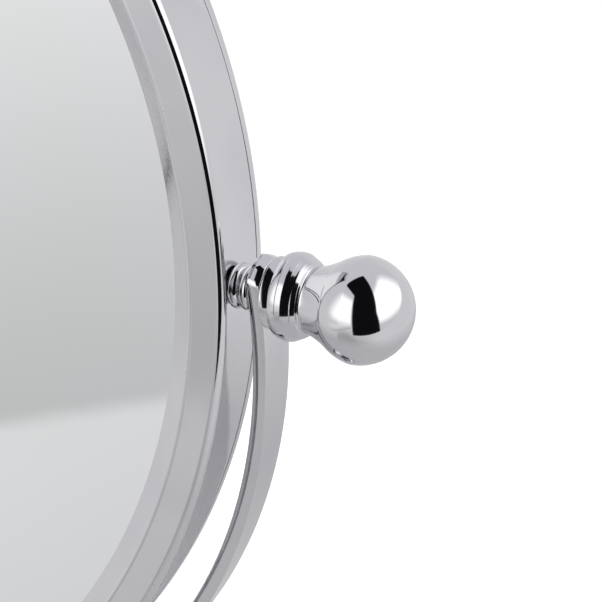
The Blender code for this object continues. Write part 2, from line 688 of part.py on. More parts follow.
def main():
    """Builds the whole mirror."""
    clear_scene()
    parts = collection("countertop_mirror")
    cutters = collection("cutters")
    looks = {
        "chrome": finish("polished_chrome", (0.83, 0.83, 0.85), 1, 0.04),
        "glass": finish("silvered_glass", (0.9, 0.91, 0.92), 1, 0.01),
        "steel": finish("zinc_plated_steel", (0.56, 0.56, 0.55), 1, 0.35),
        "iron": finish("cast_iron", (0.08, 0.08, 0.085), 0.6, 0.6),
        "felt": finish("black_felt", (0.03, 0.03, 0.032), 0, 0.95),
        "foam": finish("grey_foam", (0.35, 0.35, 0.36), 0, 0.9),
        "board": finish("pressed_board", (0.36, 0.26, 0.17), 0, 0.85),
    }
    head_axis = make_axis("tilt_axis", None, (0, 0, PIVOT_HEIGHT), (-REST_TILT, 0, 0), parts)
    make_head(looks, head_axis, parts)
    make_band(looks, head_axis, parts, cutters)
    for side in TO_SIDE:
        knob_axis = make_axis("knob_axis_" + side, head_axis, (0, 0, 0), (0, 0, 0), parts)
        make_pivot(side, looks, head_axis, knob_axis, parts, cutters)
    make_yoke(looks, parts, cutters)
    make_saddle(looks, parts, cutters)
    make_stem(looks, parts)
    make_base(looks, parts, cutters)


main()
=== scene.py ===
"""Countertop mirror: fine surfaces, finishes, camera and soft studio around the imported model.

Metres, +Z up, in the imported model's own frame. Every turned piece takes its radii and heights from the CAD
node that it stands for, and this script adds the rounds, crowns and beads that the plain solid leaves out.
"""
from __future__ import annotations

import json
import logging
import math
from collections.abc import Sequence
from dataclasses import dataclass
from enum import Enum
from functools import cached_property
from typing import Any

import bmesh
import bpy
from mathutils import Matrix, Vector


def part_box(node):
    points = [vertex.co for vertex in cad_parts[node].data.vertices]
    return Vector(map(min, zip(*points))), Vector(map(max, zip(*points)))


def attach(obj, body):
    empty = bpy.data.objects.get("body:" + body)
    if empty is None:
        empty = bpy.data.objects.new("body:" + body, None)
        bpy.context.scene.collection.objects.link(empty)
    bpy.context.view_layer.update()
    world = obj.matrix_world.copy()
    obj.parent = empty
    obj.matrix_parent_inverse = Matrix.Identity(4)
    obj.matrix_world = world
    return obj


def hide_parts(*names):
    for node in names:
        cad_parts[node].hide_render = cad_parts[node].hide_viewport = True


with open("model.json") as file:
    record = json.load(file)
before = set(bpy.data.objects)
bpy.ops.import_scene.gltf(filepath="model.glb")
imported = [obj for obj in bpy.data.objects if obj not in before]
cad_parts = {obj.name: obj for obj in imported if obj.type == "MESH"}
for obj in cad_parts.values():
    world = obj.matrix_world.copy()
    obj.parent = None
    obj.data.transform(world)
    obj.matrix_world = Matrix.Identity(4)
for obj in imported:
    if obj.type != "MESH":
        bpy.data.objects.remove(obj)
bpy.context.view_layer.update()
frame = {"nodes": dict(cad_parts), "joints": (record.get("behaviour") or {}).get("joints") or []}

LOG = logging.getLogger("countertop_mirror")
MM = 0.001
GAP = 0.3 * MM                    # the clearance that the CAD leaves between two pieces
WELD = 0.0005 * MM                # points nearer than this are joined after a cut
ROD_STEPS = 40                    # facets round a drill
SHARP_FROM = math.radians(42)     # edges that turn more than this stay sharp
Point = tuple[float, float]
Colour = tuple[float, float, float]
Direction = tuple[float, float, float]


# ------------------------------------------------------------------------------------------
# Shader maths


class Value:
    """A number socket that adds Math nodes when it is used in an expression."""

    def __init__(self, graph: Graph, socket: bpy.types.NodeSocket) -> None:
        """Wraps a socket.

        Args:
            graph: the graph that the socket belongs to.
            socket: the output socket.
        """
        self.graph = graph
        self.socket = socket

    def math(self, operation: str, *others: Operand, clamp: bool = False) -> Value:
        """One Math node with this value first.

        Args:
            operation: the node's operation.
            others: the further operands.
            clamp: whether the result stays between 0 and 1.
        Returns:
            The result.
        """
        settings = {"operation": operation, "use_clamp": clamp}
        return self.graph.node("ShaderNodeMath", settings, dict(enumerate((self, *others))))

    def __add__(self, other: Operand) -> Value:
        """self + other."""
        return self.math("ADD", other)

    __radd__ = __add__

    def __mul__(self, other: Operand) -> Value:
        """self * other."""
        return self.math("MULTIPLY", other)

    __rmul__ = __mul__

    def __sub__(self, other: Operand) -> Value:
        """self - other."""
        return self.math("SUBTRACT", other)

    def __rsub__(self, other: float) -> Value:
        """other - self."""
        return (self * -1.0) + other

    def __truediv__(self, other: Operand) -> Value:
        """self / other."""
        return self.math("DIVIDE", other)

    def step(self, low: float, high: float) -> Value:
        """Turns smoothly from 0 at low to 1 at high.

        Args:
            low: where the turn starts.
            high: where it ends.
        Returns:
            The smooth step.
        """
        inputs = {"Value": self, "From Min": low, "From Max": high}
        return self.graph.node("ShaderNodeMapRange", {"interpolation_type": "SMOOTHSTEP"}, inputs)


Operand = Value | float


class Graph:
    """A node tree and the one way in which this script adds nodes to it."""

    def __init__(self, tree: bpy.types.NodeTree) -> None:
        """Empties the tree.

        Args:
            tree: the node tree of a material or a world.
        """
        self.tree = tree
        self.tree.nodes.clear()

    def node(self, kind: str, settings: dict[str, Any], inputs: dict[Any, Any], output: Any = 0) -> Value:
        """Adds a node.

        Args:
            kind: the node's type.
            settings: its own properties, which are set first.
            inputs: a value or a linked Value for each named or numbered input.
            output: the output to return.
        Returns:
            That output.
        """
        made = self.tree.nodes.new(kind)
        for name, setting in settings.items():
            setattr(made, name, setting)
        for key, given in inputs.items():
            if isinstance(given, Value):
                self.tree.links.new(given.socket, made.inputs[key])
            else:
                made.inputs[key].default_value = given
        return Value(self, made.outputs[output])

    def mix(self, factor: Operand, low: Any, high: Any) -> Value:
        """A colour between two others.

        Args:
            factor: 0 for low and 1 for high.
            low: a colour or a linked one.
            high: a colour or a linked one.
        Returns:
            The colour.
        """
        inputs = {0: factor, 6: self.opaque(low), 7: self.opaque(high)}
        return self.node("ShaderNodeMix", {"data_type": "RGBA"}, inputs, 2)

    @staticmethod
    def opaque(colour: Any) -> Any:
        """A colour with the fourth number that a colour socket takes; a linked one is left as it is."""
        return colour if isinstance(colour, Value) else (*colour, 1.0)

    def place(self) -> Value:
        """Where a point lies on its own piece, in metres."""
        return self.node("ShaderNodeTexCoord", {}, {}, "Object")

    def stretched(self, vector: Value, factors: Direction) -> Value:
        """A vector with each axis multiplied.

        Args:
            vector: the vector.
            factors: one factor for each axis.
        Returns:
            The stretched vector.
        """
        return self.node("ShaderNodeVectorMath", {"operation": "MULTIPLY"}, {0: vector, 1: factors})

    def dot(self, direction: Value, pole: Sequence[float]) -> Value:
        """The share of a direction along another."""
        inputs = {0: direction, 1: tuple(pole)}
        return self.node("ShaderNodeVectorMath", {"operation": "DOT_PRODUCT"}, inputs, "Value")

    def noise(self, vector: Value, size: float, detail: float = 2.0, rough: float = 0.5) -> Value:
        """Soft noise about 0.5.

        Args:
            vector: where to read it.
            size: the length of one wave in the vector's units.
            detail: how many finer waves lie on it.
            rough: how strong those are.
        Returns:
            The noise.
        """
        inputs = {"Vector": vector, "Scale": 1.0 / size, "Detail": detail, "Roughness": rough}
        return self.node("ShaderNodeTexNoise", {}, inputs)

    def specks(self, vector: Value, pitch: float, reach: float) -> Value:
        """Small round specks, 1 at their middle.

        Args:
            vector: where to read them.
            pitch: about how far apart they could be.
            reach: a speck's radius as a share of the pitch.
        Returns:
            The mask. Only some cells hold a speck.
        """
        inputs = {"Vector": vector, "Scale": 1.0 / pitch}
        distance = self.node("ShaderNodeTexVoronoi", {}, inputs, "Distance")
        cell = self.node("ShaderNodeTexVoronoi", {}, inputs, "Color")
        chosen = self.node("ShaderNodeSeparateColor", {}, {0: cell}).step(0.72, 0.76)
        return chosen * (1.0 - distance.step(0.3 * reach, reach))

    def bump(self, height: Value, distance: float) -> Value:
        """A normal bent by a height field.

        Args:
            height: the height, in units of distance.
            distance: the height of 1, in metres.
        Returns:
            The normal.
        """
        return self.node("ShaderNodeBump", {}, {"Strength": 1.0, "Distance": distance, "Height": height})

    def show(self, kind: str, shader: Value) -> None:
        """Links a shader to a new output node of that type."""
        made = self.tree.nodes.new(kind)
        self.tree.links.new(shader.socket, made.inputs["Surface"])


# ------------------------------------------------------------------------------------------
# Finishes


class Finish:
    """A procedural material, built the first time that it is asked for."""

    name: str
    slot: str

    @cached_property
    def material(self) -> bpy.types.Material:
        """The Blender material."""
        made = bpy.data.materials.new(self.name)
        made.use_nodes = True
        graph = Graph(made.node_tree)
        graph.show("ShaderNodeOutputMaterial", self.shader(graph))
        return made

    def shader(self, graph: Graph) -> Value:
        """The surface shader."""
        raise NotImplementedError


@dataclass(frozen=True)
class PolishedChrome(Finish):
    """Bright plating over a buffed casting: a faint swell, haze in patches, dust and a few pits."""

    name: str = "polished_chrome"
    slot: str = "polished_chrome"
    bright: Colour = (0.66, 0.66, 0.675)
    dull: Colour = (0.615, 0.612, 0.64)
    polish: float = 0.045            # roughness where it is cleanest
    haze: float = 0.05               # added roughness where it is dullest
    swell: float = 0.0035 * MM       # height of the slow waves that buffing leaves
    swell_length: float = 7 * MM
    pit_depth: float = 0.012 * MM
    pit_pitch: float = 2.6 * MM

    def shader(self, graph: Graph) -> Value:
        """Metal with its tone, roughness and small relief."""
        place = graph.place()
        patches = graph.noise(place, 22 * MM, 3.0).step(0.35, 0.68)
        grain = graph.noise(place, 0.6 * MM, 2.0)
        pits = graph.specks(place, self.pit_pitch, 0.055)
        dust = graph.specks(graph.stretched(place, (1.13, 0.94, 1.07)), 4.1 * MM, 0.03)
        tone = graph.mix(patches, self.bright, self.dull)
        tone = graph.mix(pits * 0.55, tone, (0.24, 0.235, 0.24))
        tone = graph.mix(dust * 0.5, tone, (0.82, 0.82, 0.83))
        relief = graph.noise(place, self.swell_length, 1.0) * self.swell / self.pit_depth - pits
        inputs = {
            "Base Color": tone,
            "Metallic": 1.0,
            "Roughness": patches * self.haze + grain * 0.03 + dust * 0.3 + (self.polish - 0.015),
            "Normal": graph.bump(relief, self.pit_depth),
        }
        return graph.node("ShaderNodeBsdfPrincipled", {}, inputs)


@dataclass(frozen=True)
class SilveredGlass(Finish):
    """A mirror pane: silver behind clear glass, with a faint green depth and a few specks of dust."""

    name: str = "silvered_glass"
    slot: str = "silvered_glass"
    silver: Colour = (0.885, 0.885, 0.9)
    depth: Colour = (0.865, 0.88, 0.87)
    dust_pitch: float = 19 * MM

    def shader(self, graph: Graph) -> Value:
        """Silver under a coat of glass."""
        place = graph.place()
        cloud = graph.noise(place, 60 * MM, 2.0).step(0.3, 0.7)
        dust = graph.specks(place, self.dust_pitch, 0.02)
        smear = graph.noise(graph.stretched(place, (1.0, 1.0, 0.35)), 14 * MM, 4.0).step(0.55, 0.8)
        tone = graph.mix(cloud, self.silver, self.depth)
        inputs = {
            "Base Color": graph.mix(dust * 0.6, tone, (0.95, 0.95, 0.96)),
            "Metallic": 1.0,
            "Roughness": smear * 0.012 + dust * 0.4 + 0.004,
        }
        return graph.node("ShaderNodeBsdfPrincipled", {}, inputs)


@dataclass(frozen=True)
class PlainFinish(Finish):
    """A finish of two tones in a grain, with its own relief: paint, steel, iron, foam or board."""

    name: str
    slot: str
    light: Colour
    dark: Colour
    grain: float                     # length of the grain
    stretch: Direction = (1.0, 1.0, 1.0)
    metallic: float = 0.0
    smooth: float = 0.4              # roughness in the light tone
    rough: float = 0.6               # roughness in the dark tone
    relief: float = 0.05 * MM

    def shader(self, graph: Graph) -> Value:
        """Grain in colour, roughness and relief."""
        place = graph.stretched(graph.place(), self.stretch)
        grain = graph.noise(place, self.grain, 5.0, 0.6)
        patches = graph.noise(place, 14 * self.grain, 2.0)
        share = (grain * 0.7 + patches * 0.3).step(0.36, 0.64)
        inputs = {
            "Base Color": graph.mix(share, self.light, self.dark),
            "Metallic": self.metallic,
            "Roughness": share * (self.rough - self.smooth) + self.smooth,
            "Normal": graph.bump(grain, self.relief),
        }
        return graph.node("ShaderNodeBsdfPrincipled", {}, inputs)


@dataclass(frozen=True)
class WoolFelt(Finish):
    """Pressed felt: short fibres lying every way over a mottled ground."""

    name: str = "wool_felt"
    slot: str = "felt"
    ground: Colour = (0.018, 0.018, 0.02)
    fibre: Colour = (0.075, 0.074, 0.08)

    def shader(self, graph: Graph) -> Value:
        """Two layers of stretched noise crossing each other."""
        place = graph.place()
        along = graph.noise(graph.stretched(place, (1.0, 0.12, 0.6)), 0.35 * MM, 3.0)
        across = graph.noise(graph.stretched(place, (0.14, 1.0, 0.6)), 0.4 * MM, 3.0)
        mottle = graph.noise(place, 5 * MM, 3.0)
        fibres = along.math("MAXIMUM", across)
        lit = (fibres * 0.75 + mottle * 0.25).step(0.42, 0.72)
        inputs = {
            "Base Color": graph.mix(lit, self.ground, self.fibre),
            "Roughness": 0.96,
            "Sheen Weight": 0.35,
            "Sheen Roughness": 0.4,
            "Normal": graph.bump(fibres, 0.12 * MM),
        }
        return graph.node("ShaderNodeBsdfPrincipled", {}, inputs)


class Look(Enum):
    """The finishes of this object."""

    CHROME = PolishedChrome()
    MIRROR = SilveredGlass()
    BACK_PAINT = PlainFinish(
        "mirror_back_paint", "silvered_glass", (0.2, 0.205, 0.21), (0.16, 0.165, 0.17), 0.8 * MM,
        smooth=0.45,
    )
    STEEL = PlainFinish(
        "zinc_plated_steel", "plain_steel", (0.6, 0.6, 0.58), (0.47, 0.47, 0.46), 0.5 * MM, (1.0, 1.0, 0.15),
        metallic=1.0, smooth=0.28, rough=0.45, relief=0.01 * MM,
    )
    IRON = PlainFinish(
        "cast_iron", "cast_weight", (0.09, 0.088, 0.085), (0.035, 0.034, 0.034), 1.2 * MM, metallic=0.6,
        smooth=0.55, rough=0.8, relief=0.15 * MM,
    )
    FELT = WoolFelt()
    FOAM = PlainFinish(
        "closed_cell_foam", "foam", (0.36, 0.36, 0.37), (0.22, 0.22, 0.23), 0.4 * MM, smooth=0.85,
        rough=0.95, relief=0.1 * MM,
    )
    BOARD = PlainFinish(
        "pressed_board", "pressed_board", (0.42, 0.31, 0.2), (0.25, 0.17, 0.1), 0.9 * MM, (1.0, 0.4, 1.0),
        smooth=0.8, rough=0.95, relief=0.06 * MM,
    )


# ------------------------------------------------------------------------------------------
# Turned and bent shapes


@dataclass(frozen=True)
class Envelope:
    """The radii and heights between which a CAD node lies, about an axis."""

    inner: float
    outer: float
    bottom: float
    top: float

    @classmethod
    def of(cls, node: str, axis: Matrix) -> Envelope:
        """Measures a CAD node.

        Args:
            node: its name.
            axis: the matrix whose Z is the axis to measure about.
        Returns:
            Its envelope about that axis.
        """
        to_axis = axis.inverted()
        points = [to_axis @ vertex.co for vertex in frame["nodes"][node].data.vertices]
        radii = [math.hypot(point.x, point.y) for point in points]
        heights = [point.z for point in points]
        return cls(min(radii), max(radii), min(heights), max(heights))


def bow(start: Point, end: Point, bulge: float, count: int) -> list[Point]:
    """An arc, its middle bulge to the left of the straight line.

    Args:
        start: where it starts.
        end: where it ends.
        bulge: the height of its middle over the line, negative to the right.
        count: the number of chords.
    Returns:
        Its points, both ends among them.
    """
    run, rise = end[0] - start[0], end[1] - start[1]
    half = 2 * math.atan(2 * bulge / math.hypot(run, rise))
    points = []
    for step in range(count + 1):
        angle = (2 * step / count - 1) * half
        along = 0.5 + 0.5 * math.sin(angle) / math.sin(half)
        across = 0.5 * (math.cos(angle) - math.cos(half)) / math.sin(half)
        points.append((start[0] + along * run - across * rise, start[1] + along * rise + across * run))
    return points


def arc(centre: Point, radius: float, first: float, last: float, count: int) -> list[Point]:
    """Part of a circle.

    Args:
        centre: its centre.
        radius: its radius.
        first: the angle of its first point, in degrees.
        last: the angle of its last point, in degrees.
        count: the number of chords.
    Returns:
        Its points.
    """
    angles = [math.radians(first + (last - first) * step / count) for step in range(count + 1)]
    return [(centre[0] + radius * math.cos(angle), centre[1] + radius * math.sin(angle)) for angle in angles]


class Outline:
    """An outline of straight and curved runs whose corners are eased.

    Each straight run gets a point close to either end, so that a round beside it doesn't bend its shading.
    """

    corner_chord = 0.08 * MM         # length of a chord in a corner's round
    support = 0.07 * MM              # from the end of a straight run to the point beside it
    merged = 0.002 * MM              # points nearer than this are one
    most = 0.45                      # share of a run that one corner may take

    def __init__(self, ease: float) -> None:
        """Starts an empty outline.

        Args:
            ease: how far each corner's round reaches, unless a run says otherwise.
        """
        self.ease = ease
        self.runs: list[list[Point]] = []
        self.reaches: list[float] = []

    def start(self, radius: float, height: float) -> Outline:
        """The first point."""
        self.last = (radius, height)
        return self

    def to(self, radius: float, height: float, ease: float | None = None) -> Outline:
        """A straight run.

        Args:
            radius: where it ends.
            height: where it ends.
            ease: how far the round at its end reaches.
        Returns:
            The outline.
        """
        return self.along([self.last, (radius, height)], ease)

    def along(self, points: Sequence[Point], ease: float | None = None) -> Outline:
        """A run through given points, the first of them where the last run ended.

        Args:
            points: its points.
            ease: how far the round at its end reaches.
        Returns:
            The outline.
        """
        self.runs.append(list(points))
        self.reaches.append(self.ease if ease is None else ease)
        self.last = points[-1]
        return self

    def bowed(
        self, radius: float, height: float, bulge: float, count: int, ease: float | None = None
    ) -> Outline:
        """A curved run.

        Args:
            radius: where it ends.
            height: where it ends.
            bulge: how far its middle stands to the left.
            count: the number of chords.
            ease: how far the round at its end reaches.
        Returns:
            The outline.
        """
        return self.along(bow(self.last, (radius, height), bulge, count), ease)

    @staticmethod
    def shortened(run: list[Point], reach: float) -> list[Point]:
        """The run without its last stretch.

        Args:
            run: its points.
            reach: the length to leave off, less where the run is short.
        Returns:
            The points that are left, ending on the run.
        """
        reach = min(reach, Outline.most * sum(math.dist(a, b) for a, b in zip(run, run[1:])))
        points = list(run)
        while len(points) > 2 and math.dist(points[-1], points[-2]) <= reach:
            reach -= math.dist(points[-1], points[-2])
            points.pop()
        length = math.dist(points[-1], points[-2])
        share = 1 - reach / length
        (ax, ay), (bx, by) = points[-2], points[-1]
        points[-1] = (ax + share * (bx - ax), ay + share * (by - ay))
        return points

    def eased(self, closed: bool) -> list[Point]:
        """The finished points.

        Args:
            closed: whether the last run ends where the first began.
        Returns:
            The points, the last not repeated in a closed outline.
        """
        count = len(self.runs)
        runs = [list(run) for run in self.runs]
        corners = [run[-1] for run in self.runs]
        for index in range(count):
            follows = (index + 1) % count
            if self.reaches[index] <= 0 or (index + 1 == count and not closed):
                continue
            runs[index] = self.shortened(runs[index], self.reaches[index])
            runs[follows] = self.shortened(runs[follows][::-1], self.reaches[index])[::-1]
        points: list[Point] = []
        for index in range(count):
            points += self.supported(runs[index])
            if self.reaches[index] > 0 and (closed or index + 1 < count):
                after = runs[(index + 1) % count][0]
                chords = max(4, round(self.reaches[index] / self.corner_chord))
                points += self.corner(runs[index][-1], corners[index], after, chords)
        cleaned = [points[0]]
        for point in points[1:]:
            if math.dist(point, cleaned[-1]) > self.merged:
                cleaned.append(point)
        if closed and math.dist(cleaned[0], cleaned[-1]) < self.merged:
            cleaned.pop()
        return cleaned

    def supported(self, run: list[Point]) -> list[Point]:
        """A straight run with a point close to each end; a curved one as it is."""
        if len(run) > 2:
            return run
        (ax, ay), (bx, by) = run
        share = min(0.2, self.support / max(math.dist(run[0], run[1]), 1e-9))
        return [(ax + part * (bx - ax), ay + part * (by - ay)) for part in (0.0, share, 1 - share, 1.0)]

    @staticmethod
    def corner(before: Point, corner: Point, after: Point, chords: int) -> list[Point]:
        """The round inside a corner.

        Args:
            before: where it starts, on one side.
            corner: the corner.
            after: where it ends, on the other side.
            chords: the number of chords.
        Returns:
            The points between start and end.
        """
        points = []
        for step in range(1, chords):
            part = step / chords
            weights = ((1 - part) ** 2, 2 * part * (1 - part), part**2)
            shares = list(zip(weights, (before, corner, after)))
            radius, height = (sum(weight * point[axis] for weight, point in shares) for axis in (0, 1))
            points.append((radius, height))
        return points


def turned_mesh(name: str, points: Sequence[Point], steps: int, axis: Matrix) -> bpy.types.Mesh:
    """A turned solid.

    Args:
        name: the mesh's name.
        points: its outline as (radius, height), on the axis at both ends or else a closed ring.
        steps: the number of facets round it.
        axis: the matrix whose Z it is turned about.
    Returns:
        The closed mesh, its faces pointing out.
    """
    edit = bmesh.new()
    rings: list[list[bmesh.types.BMVert]] = []
    for radius, height in points:
        if radius < 0.001 * MM:
            rings.append([edit.verts.new(axis @ Vector((0, 0, height)))])
            continue
        ring = []
        for step in range(steps):
            angle = 2 * math.pi * step / steps
            place = Vector((radius * math.cos(angle), radius * math.sin(angle), height))
            ring.append(edit.verts.new(axis @ place))
        rings.append(ring)
    pairs = list(zip(rings, rings[1:]))
    if len(rings[0]) > 1:
        pairs.append((rings[-1], rings[0]))
    for first, second in pairs:
        for step in range(steps):
            follows = (step + 1) % steps
            if len(first) == 1:
                edit.faces.new((first[0], second[follows], second[step]))
            elif len(second) == 1:
                edit.faces.new((first[step], first[follows], second[0]))
            else:
                edit.faces.new((first[step], first[follows], second[follows], second[step]))
    return finished_mesh(name, edit)


def finished_mesh(name: str, edit: bmesh.types.BMesh) -> bpy.types.Mesh:
    """Turns an edit mesh into a smooth-shaded mesh.

    Args:
        name: the mesh's name.
        edit: the edit mesh, which is freed.
    Returns:
        The mesh.
    """
    bmesh.ops.recalc_face_normals(edit, faces=edit.faces)
    mesh = bpy.data.meshes.new(name)
    edit.to_mesh(mesh)
    edit.free()
    mesh.shade_smooth()
    mesh.set_sharp_from_angle(angle=SHARP_FROM)
    return mesh


def without(mesh: bpy.types.Mesh, cutters: Sequence[bpy.types.Mesh]) -> bpy.types.Mesh:
    """Cuts closed meshes out of another.

    Args:
        mesh: what is cut.
        cutters: what is taken away, each in turn.
    Returns:
        The cut mesh. The others are removed.
    """
    body = bpy.data.objects.new(mesh.name + "_uncut", mesh)
    tools = [bpy.data.objects.new("cutter", cutter) for cutter in cutters]
    for obj in (body, *tools):
        bpy.context.scene.collection.objects.link(obj)
    for tool in tools:
        modifier = body.modifiers.new("Cut", "BOOLEAN")
        modifier.operation = "DIFFERENCE"
        modifier.solver = "EXACT"
        modifier.object = tool
    bpy.context.view_layer.update()
    edit = bmesh.new()
    edit.from_object(body, bpy.context.evaluated_depsgraph_get())
    bmesh.ops.remove_doubles(edit, verts=edit.verts, dist=WELD)
    bmesh.ops.dissolve_degenerate(edit, edges=edit.edges, dist=WELD)
    name = mesh.name
    for obj in (body, *tools):
        data = obj.data
        bpy.data.objects.remove(obj, do_unlink=True)
        bpy.data.meshes.remove(data)
    return finished_mesh(name, edit)


def rod(radius: float, start: float, end: float, axis: Matrix) -> bpy.types.Mesh:
    """A plain closed rod to drill with.

    Args:
        radius: its radius.
        start: where it starts along the axis.
        end: where it ends.
        axis: the matrix whose Z it lies along.
    Returns:
        The rod.
    """
    # A quarter of a facet round, so that none of its edges lies on an edge of what it drills.
    turn = axis @ Matrix.Rotation(math.pi / (2 * ROD_STEPS), 4, "Z")
    return turned_mesh("rod", [(0, end), (radius, end), (radius, start), (0, start)], ROD_STEPS, turn)


def add_piece(mesh: bpy.types.Mesh, look: Look, body: str, node: str) -> bpy.types.Object:
    """Puts a finished piece on its body, in place of its CAD node.

    Args:
        mesh: its mesh, in the frame's own coordinates, which carries its name.
        look: its finish.
        body: the CAD body that it moves with.
        node: the CAD node that it stands for.
    Returns:
        The piece.
    """
    piece = bpy.data.objects.new(mesh.name, mesh)
    mesh.materials.append(look.value.material)
    bpy.context.scene.collection.objects.link(piece)
    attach(piece, body)
    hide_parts(node)
    LOG.info("%s: %d faces, moves with %s, stands for %s", mesh.name, len(mesh.polygons), body, node)
    return piece


def dress_node(node: str, look: Look) -> None:
    """Gives a CAD node that stays its finish.

    Args:
        node: its name.
        look: its finish.
    """
    obj = frame["nodes"][node]
    obj.data.materials.clear()
    obj.data.materials.append(look.value.material)
    LOG.info("%s: the CAD node stays, in %s", node, look.value.name)


# ------------------------------------------------------------------------------------------
# Axes


class Side(Enum):
    """The two ends of the tilt axis."""

    LEFT = -1
    RIGHT = 1

    @property
    def word(self) -> str:
        """The side's name in a piece's name."""
        return self.name.lower()


@dataclass(frozen=True)
class Axes:
    """The axes that pieces are turned about, each as a matrix whose Z is the axis."""

    pivot: Vector
    front: Vector

    @classmethod
    def read(cls) -> Axes:
        """Reads the tilt axis from its joint and the way the head looks from the flat glass."""
        tilt = next(joint for joint in frame["joints"] if joint["name"] == "head_tilt")
        outward = Vector((0, 0, 0))
        for face in frame["nodes"]["front_glass"].data.polygons:
            if face.normal.y < -0.5:
                outward += face.normal * face.area
        return cls(Vector(tilt["pos_m"]), outward.normalized())

    def towards(self, direction: Vector) -> Matrix:
        """The matrix of an axis through the pivot, its X along the tilt axis where that is possible."""
        across = Vector((1, 0, 0)) if abs(direction.x) < 0.5 else self.front
        up = direction.cross(across)
        turn = Matrix((across, up, direction)).transposed().to_4x4()
        return Matrix.Translation(self.pivot) @ turn

    @property
    def face(self) -> Matrix:
        """Out of the front face."""
        return self.towards(self.front)

    @property
    def back(self) -> Matrix:
        """Out of the rear face."""
        return self.towards(-self.front)

    def side(self, side: Side) -> Matrix:
        """Out along the tilt axis."""
        return self.towards(Vector((side.value, 0, 0)))

    @property
    def upright(self) -> Matrix:
        """The stem's axis, from the origin up."""
        return Matrix.Identity(4)


# ------------------------------------------------------------------------------------------
# Sub-assemblies


